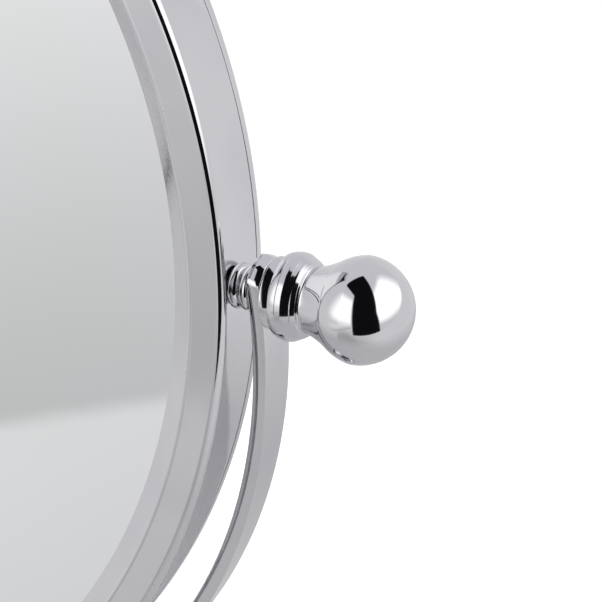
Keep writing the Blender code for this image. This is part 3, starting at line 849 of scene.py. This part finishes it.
@dataclass
class MirrorHead:
    """The two panes, their bezels and the band between them."""

    axes: Axes
    steps: int = 288
    ground_edge: float = 0.4 * MM    # bevel ground on the panes' edges
    hollow_rings: int = 40
    lip_back: float = 1.4 * MM       # thickness of the lip that stands out past the band
    front_round: float = 1.15 * MM   # round on the outer edge of the front lip
    rear_round: float = 0.3 * MM
    seam: float = 0.02 * MM          # between the wall and the rear bezel
    lip_tip: float = 0.3 * MM
    slope_run: float = 2.9 * MM
    bead_width: float = 0.9 * MM
    bead_rise: float = 0.2 * MM
    flare: float = 0.5 * MM          # how far the wall widens towards the rear
    flare_start: float = 1 * MM
    flare_rings: int = 12

    def build(self) -> None:
        """Builds and dresses the head."""
        self.pane()
        self.hollow_pane()
        self.bezel("front_bezel", "front_glass", "bezel_ring_front", self.axes.face, self.front_round)
        self.bezel("rear_bezel", "rear_glass", "bezel_ring_rear", self.axes.back, self.rear_round)
        self.band()
        dress_node("front_pad", Look.FOAM)
        dress_node("rear_ring", Look.FOAM)
        dress_node("backing_board", Look.BOARD)

    def paint_back(self, piece: bpy.types.Object, axis: Matrix, height: float) -> None:
        """Paints the faces of a pane that look into the head.

        Args:
            piece: the pane.
            axis: its axis.
            height: faces whose middle lies below this height on the axis are painted.
        """
        piece.data.materials.append(Look.BACK_PAINT.value.material)
        to_axis = axis.inverted()
        for face in piece.data.polygons:
            if (to_axis @ face.center).z < height and (to_axis.to_3x3() @ face.normal).z < -0.5:
                face.material_index = 1

    def pane(self) -> None:
        """The flat pane, its edge ground to a narrow bevel."""
        size = Envelope.of("front_glass", self.axes.face)
        outline = Outline(0.0).start(0, size.top).to(size.outer - self.ground_edge, size.top)
        outline.to(size.outer, size.top - self.ground_edge)
        outline.to(size.outer, size.bottom).to(0, size.bottom)
        mesh = turned_mesh("pane_front", outline.eased(False), self.steps, self.axes.face)
        piece = add_piece(mesh, Look.MIRROR, "mirror_head", "front_glass")
        self.paint_back(piece, self.axes.face, size.top - self.ground_edge)

    def hollow_pane(self) -> None:
        """The magnifying pane, hollow towards the rear."""
        size = Envelope.of("rear_glass", self.axes.back)
        to_axis = self.axes.back.inverted()
        heights = [
            (to_axis @ vertex.co).z for vertex in frame["nodes"]["rear_glass"].data.vertices
            if math.hypot((to_axis @ vertex.co).x, (to_axis @ vertex.co).y) < 1 * MM
        ]
        thickness = max(heights) - min(heights)
        sag = size.top - max(heights)
        face = []
        for ring in range(self.hollow_rings + 1):
            share = ring / self.hollow_rings
            face.append((size.outer * share, size.top - sag * (1 - share**2)))
        back = [(radius, height - thickness) for radius, height in face[::-1]]
        mesh = turned_mesh("pane_rear", face + back, self.steps, self.axes.back)
        piece = add_piece(mesh, Look.MIRROR, "mirror_head", "rear_glass")
        self.paint_back(piece, self.axes.back, size.top)

    def bezel(self, node: str, glass: str, name: str, axis: Matrix, lip: float) -> None:
        """One bezel: spigot inside the band, slope, bead, flat face and rounded lip.

        Args:
            node: the CAD node that it stands for.
            glass: the CAD node of the pane under it.
            name: the piece's name.
            axis: its axis.
            lip: the round on the lip's outer edge.
        """
        size = Envelope.of(node, axis)
        pane = Envelope.of(glass, axis)
        band = Envelope.of("rim_band", axis)
        spigot_outer = band.inner - GAP
        spigot_inner = pane.outer + GAP
        under = pane.top + GAP
        bead = size.inner + self.slope_run
        slope_top = size.top - self.bead_rise
        back = size.top - self.lip_back
        outline = Outline(0.12 * MM).start(size.inner, under)
        outline.to(size.inner, under + self.lip_tip, 0.1 * MM)
        outline.to(bead, slope_top, 0.16 * MM)
        outline.bowed(bead + self.bead_width, size.top, self.bead_rise / 2, 8, 0.12 * MM)
        outline.to(size.outer - lip, size.top, 0.0)
        outline.along(arc((size.outer - lip, size.top - lip), lip, 90, 0, 16), 0.0)
        outline.to(size.outer, back, 0.1 * MM).to(spigot_outer, back)
        outline.to(spigot_outer, size.bottom).to(spigot_inner, size.bottom)
        outline.to(spigot_inner, under).to(size.inner, under)
        mesh = turned_mesh(name, outline.eased(True), self.steps, axis)
        add_piece(mesh, Look.CHROME, "mirror_head", node)

    def band(self) -> None:
        """The rim wall, drilled for the studs."""
        size = Envelope.of("rim_band", self.axes.face)
        stud = Envelope.of("spacer_right", self.axes.side(Side.RIGHT))
        straight = size.outer - self.flare
        rear = size.bottom - GAP + self.seam
        flare = []
        for ring in range(self.flare_rings + 1):
            share = ring / self.flare_rings
            height = self.flare_start + share * (rear - self.flare_start)
            flare.append((straight + self.flare * share**2, height))
        outline = Outline(0.15 * MM).start(straight, size.top).to(straight, self.flare_start, 0.0)
        outline.along(flare, 0.06 * MM)
        outline.to(size.inner, rear).to(size.inner, size.top).to(straight, size.top)
        mesh = turned_mesh("rim_wall", outline.eased(True), self.steps, self.axes.face)
        reach = size.outer + 2 * MM
        drill = rod(stud.inner, -reach, reach, self.axes.side(Side.RIGHT))
        add_piece(without(mesh, [drill]), Look.CHROME, "mirror_head", "rim_band")


@dataclass
class Pivot:
    """What joins the head to one leg of the yoke: stud, plate, spacer, washer and ball knob."""

    axes: Axes
    side: Side
    steps: int = 96
    bead_crown: float = 0.7 * MM
    dish: float = 0.6 * MM           # how much narrower the washer is next to the knob
    # The collar's turned steps as (radius, distance from the knob's inner face), outside in.
    collar: tuple[Point, ...] = (
        (5.6 * MM, 4.2 * MM), (6.0 * MM, 3.62 * MM), (6.06 * MM, 3.42 * MM), (6.34 * MM, 2.92 * MM),
        (6.4 * MM, 2.82 * MM), (6.66 * MM, 2.26 * MM), (6.7 * MM, 1.42 * MM), (6.56 * MM, 1.36 * MM),
        (6.62 * MM, 1.28 * MM),
    )
    collar_start: float = 6.3 * MM
    collar_crown: float = 0.08 * MM
    neck_radius: float = 5.0 * MM
    neck_place: float = 4.5 * MM     # distance of the narrowest place from the inner face
    sweep_hollow: float = 0.35 * MM
    ball_end: float = 13.0           # degrees that the ball runs past its middle
    ball_blend: float = 2.2 * MM     # reach of the round between ball and neck
    stud_in_knob: float = 8.3 * MM

    def build(self) -> None:
        """Builds and dresses one pivot."""
        self.spacer()
        self.washer()
        self.knob()
        dress_node("pivot_plate_" + self.side.word, Look.STEEL)
        dress_node("pivot_stud_" + self.side.word, Look.STEEL)

    def spacer(self) -> None:
        """Two round beads side by side."""
        node = "spacer_" + self.side.word
        axis = self.axes.side(self.side)
        size = Envelope.of(node, axis)
        middle = (size.bottom + size.top) / 2
        waist = size.outer - self.bead_crown
        outline = Outline(0.05 * MM).start(size.inner, size.top)
        outline.to(waist, size.top)
        outline.bowed(waist, middle, self.bead_crown, 16)
        outline.bowed(waist, size.bottom, self.bead_crown, 16)
        outline.to(size.inner, size.bottom).to(size.inner, size.top)
        mesh = turned_mesh("bead_spacer_" + self.side.word, outline.eased(True), self.steps, axis)
        add_piece(mesh, Look.CHROME, "mirror_head", node)

    def washer(self) -> None:
        """The dished washer between yoke and knob."""
        node = "knob_washer_" + self.side.word
        axis = self.axes.side(self.side)
        size = Envelope.of(node, axis)
        narrow = size.outer - self.dish
        outline = Outline(0.12 * MM).start(narrow, size.top).bowed(size.outer, size.bottom, 0.05 * MM, 10)
        outline.to(size.inner, size.bottom).to(size.inner, size.top).to(narrow, size.top)
        mesh = turned_mesh("thrust_washer_" + self.side.word, outline.eased(True), self.steps, axis)
        add_piece(mesh, Look.CHROME, self.side.word + "_knob", node)

    def knob(self) -> None:
        """Stepped collar, neck and ball, bored for the stud."""
        node = "knob_" + self.side.word
        axis = self.axes.side(self.side)
        size = Envelope.of(node, axis)
        spacer = Envelope.of("spacer_" + self.side.word, axis)
        neck = size.bottom + self.neck_place
        centre = size.top - size.outer
        sweep_start = arc((0, centre), size.outer, 90, -self.ball_end, 48)
        bore_end = size.bottom + self.stud_in_knob
        outline = Outline(0.14 * MM).start(*sweep_start[0]).along(sweep_start, self.ball_blend)
        outline.bowed(self.neck_radius, neck, -self.sweep_hollow, 20, 0.4 * MM)
        for radius, distance in self.collar:
            outline.to(radius, size.bottom + distance, 0.05 * MM)
        outline.bowed(self.collar_start, size.bottom, self.collar_crown, 12, 0.1 * MM)
        outline.to(spacer.inner, size.bottom)
        outline.to(spacer.inner, bore_end).to(0, bore_end)
        mesh = turned_mesh("ball_knob_" + self.side.word, outline.eased(False), self.steps, axis)
        add_piece(mesh, Look.CHROME, self.side.word + "_knob", node)


@dataclass
class Yoke:
    """The flat bar bent to a U, and the cup, nut and rod that hold it on the stem."""

    axes: Axes
    clip_width: float = 2.5 * MM     # corners taken off the ends of the legs
    clip_height: float = 1.8 * MM
    clip_round: float = 0.7 * MM
    end_slant: float = 0.5 * MM      # how much lower an end is at the bar's outside
    slant_start: float = 1.7 * MM
    edge_round: float = 0.3 * MM     # corners of the bar
    edge_crown: float = 0.13 * MM    # how far the middle of its narrow faces stands out
    corner_steps: int = 5
    crown_steps: int = 8
    cup_neck: float = 6 * MM
    cup_rim: float = 2 * MM          # height of the cup's rounded rim
    cup_bead: float = 3 * MM         # height of the bead at its bottom
    cup_round: float = 0.8 * MM      # how far rim and bead stand out
    nut_skirt: float = 1.2 * MM      # height of the nut's straight side
    nut_roof: float = 0.8 * MM       # metal over its bore
    bends: int = 160
    steps: int = 96

    def __post_init__(self) -> None:
        """Reads the bar's sizes from its CAD node."""
        low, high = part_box("yoke")
        self.outer = high.x
        self.half_width = high.y
        self.drop = self.axes.pivot.z - low.z
        self.end_rise = high.z - self.axes.pivot.z
        inner = Envelope.of("spacer_right", self.axes.side(Side.RIGHT)).top + GAP
        self.inner = inner
        self.thickness = self.outer - inner

    def bar_point(self, angle: float, rise: float, across: float, share: float) -> Vector:
        """A point of the bar.

        Args:
            angle: how far round the bend it is, 0 at the right leg and pi at the left one.
            rise: how far it is above the tilt axis, on a leg.
            across: how far it is from the bar's middle plane, along Y.
            share: 0 on the bar's inside and 1 on its outside.
        Returns:
            The point.
        """
        half = self.inner + share * self.thickness
        drop = self.drop - (1 - share) * self.thickness
        # The end is cut at a slant, and the leg below it stays as it is.
        reach = min(1.0, max(0.0, (rise - self.slant_start) / self.slant_start))
        slant = self.end_slant * share * reach**2 * (3 - 2 * reach)
        up = rise - slant - drop * math.sin(angle)
        return self.axes.pivot + Vector((half * math.cos(angle), across, up))

    def leg_end(self, inset: float) -> list[Point]:
        """The end of a leg from the side, as (across, rise) from front to rear, drawn in by inset."""
        half = self.half_width - inset
        lean = math.atan2(self.clip_width, self.clip_height)
        low = self.end_rise - self.clip_height - inset * math.tan((math.pi / 2 - lean) / 2)
        flat = self.half_width - self.clip_width - inset * math.tan(lean / 2)
        top = self.end_rise - inset
        outline = Outline(self.clip_round).start(-half, 0.0).to(-half, low).to(-flat, top)
        return outline.to(0.0, top, 0.0).to(flat, top).to(half, low).to(half, 0.0).eased(False)

    def loop(self, inset: float) -> list[tuple[float, float, float]]:
        """The bar's outline laid flat, as (angle, rise, across), drawn in all round by inset."""
        end = self.leg_end(inset)
        width = self.half_width - inset
        down = [(math.pi * step / self.bends, 0.0, width) for step in range(1, self.bends)]
        right = [(0.0, rise, across) for across, rise in end]
        left = [(math.pi, rise, -across) for across, rise in end]
        return right + down + left + [(math.pi - angle, rise, -across) for angle, rise, across in down]

    def section(self) -> list[Point]:
        """The bar's edge from its inside to its outside, as (inset, share)."""
        points = [(self.edge_round + 0.12 * MM, 0.0)]
        corner = self.edge_round
        for step in range(self.corner_steps + 1):
            turn = math.radians(90 * step / self.corner_steps)
            points.append((corner * (1 - math.sin(turn)), corner * (1 - math.cos(turn)) / self.thickness))
        flat = self.thickness - 2 * corner
        for step in range(1, self.crown_steps):
            part = step / self.crown_steps
            inset = -4 * self.edge_crown * part * (1 - part)
            points.append((inset, (corner + part * flat) / self.thickness))
        points += [(inset, 1 - share) for inset, share in points[self.corner_steps + 1::-1]]
        return [(inset + self.edge_crown, share) for inset, share in points]

    def bar(self) -> None:
        """The bar with its crowned edges, drilled for the studs and the rod."""
        edit = bmesh.new()
        rings = []
        for inset, share in self.section():
            rings.append([edit.verts.new(self.bar_point(a, r, y, share)) for a, r, y in self.loop(inset)])
        count = len(rings[0])
        for first, second in zip(rings, rings[1:]):
            for index in range(count):
                follows = (index + 1) % count
                edit.faces.new((first[index], first[follows], second[follows], second[index]))
        for ring in (rings[0], rings[-1]):
            self.cap(edit, ring, len(self.leg_end(0.0)))
        mesh = finished_mesh("yoke_bar", edit)
        stud = Envelope.of("spacer_right", self.axes.side(Side.RIGHT)).inner
        hole = Envelope.of("stem_collar", self.axes.upright).inner
        reach = self.outer + 2 * MM
        bottom = self.axes.pivot.z - self.drop
        drills = [
            rod(stud, -reach, reach, self.axes.side(Side.RIGHT)),
            rod(hole, bottom - 2 * MM, bottom + self.thickness + 2 * MM, self.axes.upright),
        ]
        add_piece(without(mesh, drills), Look.CHROME, "stand", "yoke")

    @staticmethod
    def cap(edit: bmesh.types.BMesh, ring: list[bmesh.types.BMVert], end: int) -> None:
        """Closes the bar's inside or outside between the two long sides of a ring.

        Args:
            edit: the edit mesh.
            ring: the ring to close.
            end: the number of points in the end of a leg.
        """
        # The ring reads the same forwards and backwards from the middle of a leg's end.
        middle = end // 2
        count = len(ring)
        for step in range(count // 2):
            corners = [ring[(middle + step) % count], ring[(middle + step + 1) % count]]
            corners += [ring[(middle - step - 1) % count], ring[(middle - step) % count]]
            distinct = list(dict.fromkeys(corners))
            if len(distinct) > 2:
                edit.faces.new(distinct)

    def slot(self) -> bpy.types.Mesh:
        """The bar grown by the clearance, to cut its seat with."""
        edit = bmesh.new()
        rings = []
        width = self.half_width + GAP
        grown = GAP / self.thickness
        sides = ((-width, -grown), (width, -grown), (width, 1 + grown), (-width, 1 + grown))
        for step in range(self.bends + 1):
            angle = math.pi * (0.3 + 0.4 * step / self.bends)
            places = [self.bar_point(angle, 0, across, share) for across, share in sides]
            rings.append([edit.verts.new(place) for place in places])
        for first, second in zip(rings, rings[1:]):
            for index in range(4):
                follows = (index + 1) % 4
                edit.faces.new((first[index], first[follows], second[follows], second[index]))
        edit.faces.new(rings[0])
        edit.faces.new(rings[-1])
        return finished_mesh("slot", edit)

    def saddle(self) -> None:
        """The cup under the bar."""
        size = Envelope.of("yoke_saddle", self.axes.upright)
        neck = Envelope.of("stem_collar", self.axes.upright)
        lip, swell = size.outer - self.cup_round, self.cup_neck + self.cup_round
        bead = size.bottom + self.cup_bead
        outline = Outline(0.15 * MM).start(neck.inner, size.top).to(lip, size.top, 0.25 * MM)
        outline.bowed(lip, size.top - self.cup_rim, self.cup_round, 14, 0.1 * MM)
        outline.bowed(self.cup_neck, bead, -2 * self.cup_round, 20, 0.1 * MM)
        outline.to(swell, bead, 0.12 * MM)
        outline.bowed(swell, size.bottom, self.cup_round, 14, 0.12 * MM)
        outline.to(neck.inner, size.bottom).to(neck.inner, size.top)
        mesh = turned_mesh("saddle_cup", outline.eased(True), self.steps, self.axes.upright)
        add_piece(without(mesh, [self.slot()]), Look.CHROME, "stand", "yoke_saddle")

    def dome_nut(self) -> None:
        """The low domed nut on top of the bar."""
        size = Envelope.of("cap_nut", self.axes.upright)
        bore = Envelope.of("stem_collar", self.axes.upright).inner
        skirt = size.bottom + self.nut_skirt
        roof = size.top - self.nut_roof
        outline = Outline(0.15 * MM).start(0, size.top)
        outline.along(bow((0, size.top), (size.outer, skirt), self.nut_roof, 20), 0.3 * MM)
        outline.to(size.outer, size.bottom, 0.2 * MM).to(bore, size.bottom).to(bore, roof).to(0, roof)
        mesh = turned_mesh("dome_nut", outline.eased(False), self.steps, self.axes.upright)
        add_piece(mesh, Look.CHROME, "stand", "cap_nut")

    def build(self) -> None:
        """Builds and dresses the yoke and its seat."""
        self.bar()
        self.saddle()
        self.dome_nut()
        dress_node("tie_rod", Look.STEEL)


@dataclass
class Stem:
    """The turned pieces between base and saddle."""

    axes: Axes
    steps: int = 128
    land: float = 1.5 * MM           # straight stretch above and below the collar's round
    neck: float = 6 * MM
    column_top: float = 5 * MM
    belly_share: float = 0.3         # height of the column's widest place
    column_curve: float = 0.9 * MM
    foot_round: float = 1 * MM
    foot_bead: float = 3 * MM
    foot_rim: float = 2.4 * MM
    foot_hollow: float = 2 * MM

    def finish(self, name: str, outline: Outline, node: str) -> None:
        """Turns one piece of the stem.

        Args:
            name: the piece's name.
            outline: its outline, a closed ring.
            node: the CAD node that it stands for.
        """
        mesh = turned_mesh(name, outline.eased(True), self.steps, self.axes.upright)
        add_piece(mesh, Look.CHROME, "stand", node)

    def collar(self) -> None:
        """The round collar with a land above and below."""
        size = Envelope.of("stem_collar", self.axes.upright)
        low, high = size.bottom + self.land, size.top - self.land
        outline = Outline(0.12 * MM).start(size.inner, size.top).to(self.neck, size.top).to(self.neck, high)
        outline.bowed(self.neck, low, size.outer - self.neck, 28)
        outline.to(self.neck, size.bottom).to(size.inner, size.bottom).to(size.inner, size.top)
        self.finish("stem_round_collar", outline, "stem_collar")

    def column(self) -> None:
        """The slim baluster."""
        size = Envelope.of("stem_column", self.axes.upright)
        belly = size.bottom + self.belly_share * (size.top - size.bottom)
        upper = bow((self.column_top, size.top), (size.outer, belly), -self.column_curve, 36)
        lower = bow((size.outer, belly), (self.neck, size.bottom), self.column_curve, 24)
        outline = Outline(0.15 * MM).start(size.inner, size.top).to(self.column_top, size.top)
        outline.along(upper, 1.2 * MM).along(lower).to(size.inner, size.bottom).to(size.inner, size.top)
        self.finish("stem_baluster", outline, "stem_column")

    def foot(self) -> None:
        """The flared foot."""
        size = Envelope.of("stem_foot", self.axes.upright)
        bead, rim = self.neck + self.foot_round, size.outer - self.foot_round
        shoulder, throat = size.bottom + self.foot_rim, size.top - self.foot_bead
        outline = Outline(0.12 * MM).start(size.inner, size.top).to(bead, size.top)
        outline.bowed(bead, throat, self.foot_round, 14).to(self.neck, throat)
        outline.bowed(rim, shoulder, -self.foot_hollow, 24)
        outline.bowed(rim, size.bottom, self.foot_round, 14)
        outline.to(size.inner, size.bottom).to(size.inner, size.top)
        self.finish("stem_flared_foot", outline, "stem_foot")

    def build(self) -> None:
        """Builds and dresses the stem."""
        self.collar()
        self.column()
        self.foot()


@dataclass
class Base:
    """The spun shell with its weight, fasteners and felt pad."""

    axes: Axes
    steps: int = 224
    wall: float = 1.2 * MM
    seat: float = 1 * MM             # from the foot's edge to where the shell starts to fall
    rim_height: float = 5 * MM
    step_height: float = 13 * MM
    step: float = 1 * MM
    shoulder: float = 15 * MM
    shoulder_crown: float = 2.5 * MM
    hollow: float = 3 * MM
    felt_round: float = 0.5 * MM

    def shell(self) -> None:
        """The shell, one wall thick, from the stem's foot down to its rim."""
        size = Envelope.of("base_shell", self.axes.upright)
        foot = Envelope.of("stem_foot", self.axes.upright)
        seat = foot.outer + self.seat
        rim_top, step = size.bottom + self.rim_height, size.bottom + self.step_height
        step_radius = size.outer - self.shoulder
        wall = self.wall
        hollow = bow((seat, size.top), (step_radius - self.step, step), -self.hollow, 40)
        crown = bow((step_radius, step - self.step), (size.outer, rim_top), self.shoulder_crown, 24)
        outline = Outline(0.25 * MM).start(size.inner, size.top).to(seat, size.top, 0.5 * MM)
        outline.along(hollow, 0.3 * MM).to(step_radius, step - self.step, 0.25 * MM)
        outline.along(crown, 0.6 * MM).to(size.outer, size.bottom, 0.4 * MM)
        outline.to(size.outer - wall, size.bottom, 0.3 * MM)
        outline.to(size.outer - wall, rim_top - wall, 0.0)
        outline.along([(radius - wall, height - wall) for radius, height in crown[::-1]], 0.0)
        outline.to(step_radius - self.step - wall, step - wall, 0.0)
        outline.along([(radius - wall, height - wall) for radius, height in hollow[::-1]], 0.0)
        outline.to(size.inner, size.top - wall).to(size.inner, size.top)
        mesh = turned_mesh("base_spinning", outline.eased(True), self.steps, self.axes.upright)
        add_piece(mesh, Look.CHROME, "stand", "base_shell")

    def pad(self) -> None:
        """The felt pad, soft at its edge."""
        size = Envelope.of("foot_pad", self.axes.upright)
        outline = Outline(self.felt_round).start(0, size.top).to(size.outer, size.top)
        outline.to(size.outer, size.bottom).to(0, size.bottom)
        mesh = turned_mesh("felt_pad", outline.eased(False), self.steps, self.axes.upright)
        piece = add_piece(mesh, Look.FELT, "stand", "foot_pad")

    def build(self) -> None:
        """Builds and dresses the base."""
        self.shell()
        self.pad()
        dress_node("base_weight", Look.IRON)
        for node in ("base_washer", "base_nut", "base_sleeve"):
            dress_node(node, Look.STEEL)


# ------------------------------------------------------------------------------------------
# Studio


def facing(azimuth: float, elevation: float) -> Vector:
    """The direction at an azimuth and an elevation, in degrees.

    Azimuth 0 is the way the base's front looks, and it grows towards the object's right.
    """
    turn, climb = math.radians(azimuth), math.radians(elevation)
    return Vector((math.sin(turn) * math.cos(climb), -math.cos(turn) * math.cos(climb), math.sin(climb)))


@dataclass(frozen=True)
class Edge:
    """One edge of something in the room, as seen from the object.

    It is the great circle whose pole stands at this azimuth and elevation. Inside is the pole's side.
    """

    azimuth: float
    elevation: float
    blur: float = 1.0                # half-width of its soft edge, in degrees

    def inside(self, graph: Graph, direction: Value) -> Value:
        """How far each direction is inside.

        Args:
            graph: the world's graph.
            direction: the direction looked in.
        Returns:
            0 outside and 1 inside.
        """
        reach = math.radians(self.blur)
        return graph.dot(direction, facing(self.azimuth, self.elevation)).step(-reach, reach)


@dataclass(frozen=True)
class Area:
    """Something in the room that lies inside all of its edges. Of a group of edges, one is enough."""

    tone: Colour
    edges: tuple[tuple[Edge, ...], ...]

    def mask(self, graph: Graph, direction: Value) -> Value:
        """How much of the area lies in each direction.

        Args:
            graph: the world's graph.
            direction: the direction looked in.
        Returns:
            The mask.
        """
        mask: Value | None = None
        for group in self.edges:
            inside = group[0].inside(graph, direction)
            for other in group[1:]:
                inside = inside.math("MAXIMUM", other.inside(graph, direction))
            mask = inside if mask is None else mask * inside
        return mask


def between(left: float, right: float, soft_left: float, soft_right: float) -> tuple[tuple[Edge, ...], ...]:
    """The two upright edges of an area.

    Args:
        left: its left azimuth.
        right: its right azimuth.
        soft_left: half-width of the left edge.
        soft_right: half-width of the right edge.
    Returns:
        Its edges.
    """
    return (Edge(left + 90, 0, soft_left),), (Edge(right - 90, 0, soft_right),)


@dataclass
class Studio:
    """The soft white room that the object stands in: what its polish mirrors, and its floor."""

    wall: Colour = (0.775, 0.77, 0.815)
    wall_low: Colour = (0.81, 0.81, 0.825)
    floor_near: Colour = (0.62, 0.62, 0.63)
    floor_far: Colour = (0.81, 0.81, 0.82)
    floor_right: Colour = (0.86, 0.855, 0.875)
    floor_front: Colour = (0.5, 0.5, 0.5)
    paper: Colour = (0.82, 0.82, 0.82)
    paper_lift: float = 0.62
    paper_solid: float = 0.2         # radius within which the floor is solid
    paper_end: float = 0.45          # radius at which it has faded out
    areas: tuple[Area, ...] = (
        # The soft white windows to the left and to the right.
        Area((1.6, 1.59, 1.57), (*between(-54, 8, 14, 1.2), (Edge(158, 85, 9),), (Edge(-22, -34, 7),))),
        Area((1.65, 1.64, 1.63), (*between(66, 150, 1.2, 12), (Edge(109, 88, 7),), (Edge(109, -34, 5),))),
        # The dark opening between them, which leans over the object and widens above it.
        Area(
            (0.006, 0.006, 0.007),
            (
                (Edge(100.5, 0, 1.2), Edge(141.0, 18.5, 1.0)),
                (Edge(-25.5, 0, 1.0), Edge(-32.1, 18.7, 1.2)),
                (Edge(56.4, 11.8, 1.0),),
                (Edge(37, 68.5, 0.8),),
            ),
        ),
    )
    # Left of the opening, the wall above the floor's edge is lit and the foot of it lies in shade.
    lit_wall: Colour = (1.05, 1.05, 1.06)
    wall_foot: Colour = (0.555, 0.555, 0.56)
    # The poles of the floor's edge to the left and to the right, and the way to its brighter end.
    left_edge: Direction = (-0.320, -0.123, 0.940)
    right_edge: Direction = (0.2206, -0.2927, 0.9304)
    bright_end: Direction = (0.94, 0.34, 0)

    def build(self) -> None:
        """Builds the world and the floor."""
        self.room()
        self.floor()

    def room(self) -> None:
        """The world: white to the camera, and windows, walls and floor to everything else."""
        world = bpy.data.worlds.new("studio")
        world.use_nodes = True
        bpy.context.scene.world = world
        graph = Graph(world.node_tree)
        direction = graph.node("ShaderNodeTexCoord", {}, {}, "Generated")
        height = graph.dot(direction, (0, 0, 1))
        tone = graph.mix(height.step(-0.1, 0.45), self.wall_low, self.wall)
        left_side = 1.0 - graph.dot(direction, facing(98, 0)).step(-0.03, 0.01)
        edge = graph.dot(direction, self.left_edge)
        front_left = left_side * graph.dot(direction, facing(42, 0)).step(-0.2, 0.12)
        near_edge = (1.0 - edge.step(-0.03, 0.2)) * front_left
        tone = graph.mix((1.0 - edge.step(0.1, 0.3)) * front_left, tone, self.lit_wall)
        tone = graph.mix(near_edge, tone, self.wall_foot)
        for area in self.areas:
            tone = graph.mix(area.mask(graph, direction), tone, area.tone)
        floor = graph.mix(height.step(-0.66, -0.2), self.floor_near, self.floor_far)
        front = graph.dot(direction, facing(-8, -34)).step(0.88, 0.985)
        floor = graph.mix(front, floor, self.floor_front)
        floor = graph.mix(graph.dot(direction, self.bright_end).step(0.05, 0.6), floor, self.floor_right)
        below_left = (1.0 - edge.step(-0.003, 0.003)) * left_side
        opening = graph.dot(direction, self.right_edge)
        below_right = (1.0 - opening.step(-0.012, 0.012)) * (1.0 - left_side)
        tone = graph.mix(below_left + below_right, tone, floor)
        seen = graph.node("ShaderNodeLightPath", {}, {}, "Is Camera Ray")
        tone = graph.mix(seen, tone, (1.0, 1.0, 1.0))
        graph.show("ShaderNodeOutputWorld", graph.node("ShaderNodeBackground", {}, {"Color": tone}))

    def floor(self) -> None:
        """A pale floor that fades out round the object."""
        edit = bmesh.new()
        bmesh.ops.create_circle(edit, cap_ends=True, radius=self.paper_end * 1.05, segments=96)
        mesh = finished_mesh("floor", edit)
        floor = bpy.data.objects.new("floor", mesh)
        bpy.context.scene.collection.objects.link(floor)
        material = bpy.data.materials.new("white_paper")
        material.use_nodes = True
        graph = Graph(material.node_tree)
        place = graph.place()
        radius = graph.node("ShaderNodeVectorMath", {"operation": "LENGTH"}, {0: place}, "Value")
        grain = graph.noise(place, 1.5 * MM, 3.0)
        seen = graph.node("ShaderNodeLightPath", {}, {}, "Is Camera Ray")
        tone = graph.mix(grain.step(0.3, 0.7), self.paper, tuple(0.98 * part for part in self.paper))
        matt = graph.node("ShaderNodeBsdfDiffuse", {}, {"Color": tone})
        lift = graph.node("ShaderNodeEmission", {}, {"Strength": seen * self.paper_lift})
        paper = graph.node("ShaderNodeAddShader", {}, {0: matt, 1: lift})
        clear = graph.node("ShaderNodeBsdfTransparent", {}, {})
        fade = radius.step(self.paper_solid, self.paper_end)
        mixed = graph.node("ShaderNodeMixShader", {}, {0: fade, 1: paper, 2: clear})
        graph.show("ShaderNodeOutputMaterial", mixed)
        mesh.materials.append(material)


@dataclass
class View:
    """The camera, close to the right end of the tilt axis."""

    azimuth: float = 30.48           # degrees round from the front, towards the right
    elevation: float = 33.91
    roll: float = -6.52
    distance: float = 0.636
    lens: float = 257.9              # millimetres on the sensor below
    sensor: float = 36.0
    aim_out: float = 106 * MM        # the aimed point: out along the tilt axis, then in the picture's plane
    aim_right: float = 9.35 * MM
    aim_up: float = -2.42 * MM

    def build(self, axes: Axes) -> None:
        """Places the camera.

        Args:
            axes: the object's axes.
        """
        turn, roll = math.radians(self.azimuth), math.radians(self.roll)
        back = facing(self.azimuth, self.elevation)
        level = Vector((math.cos(turn), math.sin(turn), 0))
        upright = back.cross(level)
        right = math.cos(roll) * level + math.sin(roll) * upright
        up = back.cross(right)
        aim = axes.pivot + Vector((self.aim_out, 0, 0)) + self.aim_right * right + self.aim_up * up
        data = bpy.data.cameras.new("view")
        data.lens = self.lens
        data.sensor_width = self.sensor
        data.clip_start, data.clip_end = 0.01, 20
        camera = bpy.data.objects.new("view", data)
        bpy.context.scene.collection.objects.link(camera)
        turn_matrix = Matrix((right, up, back)).transposed().to_4x4()
        camera.matrix_world = Matrix.Translation(aim + self.distance * back) @ turn_matrix
        bpy.context.scene.camera = camera


def main() -> None:
    """Builds the whole scene."""
    logging.basicConfig(level=logging.INFO, format="%(name)s: %(message)s")
    axes = Axes.read()
    View().build(axes)
    MirrorHead(axes).build()
    for side in Side:
        Pivot(axes, side).build()
    Yoke(axes).build()
    Stem(axes).build()
    Base(axes).build()
    Studio().build()
    settings = bpy.context.scene.view_settings
    settings.view_transform = "Standard"
    settings.look = "None"


if __name__ == "__main__":
    main()
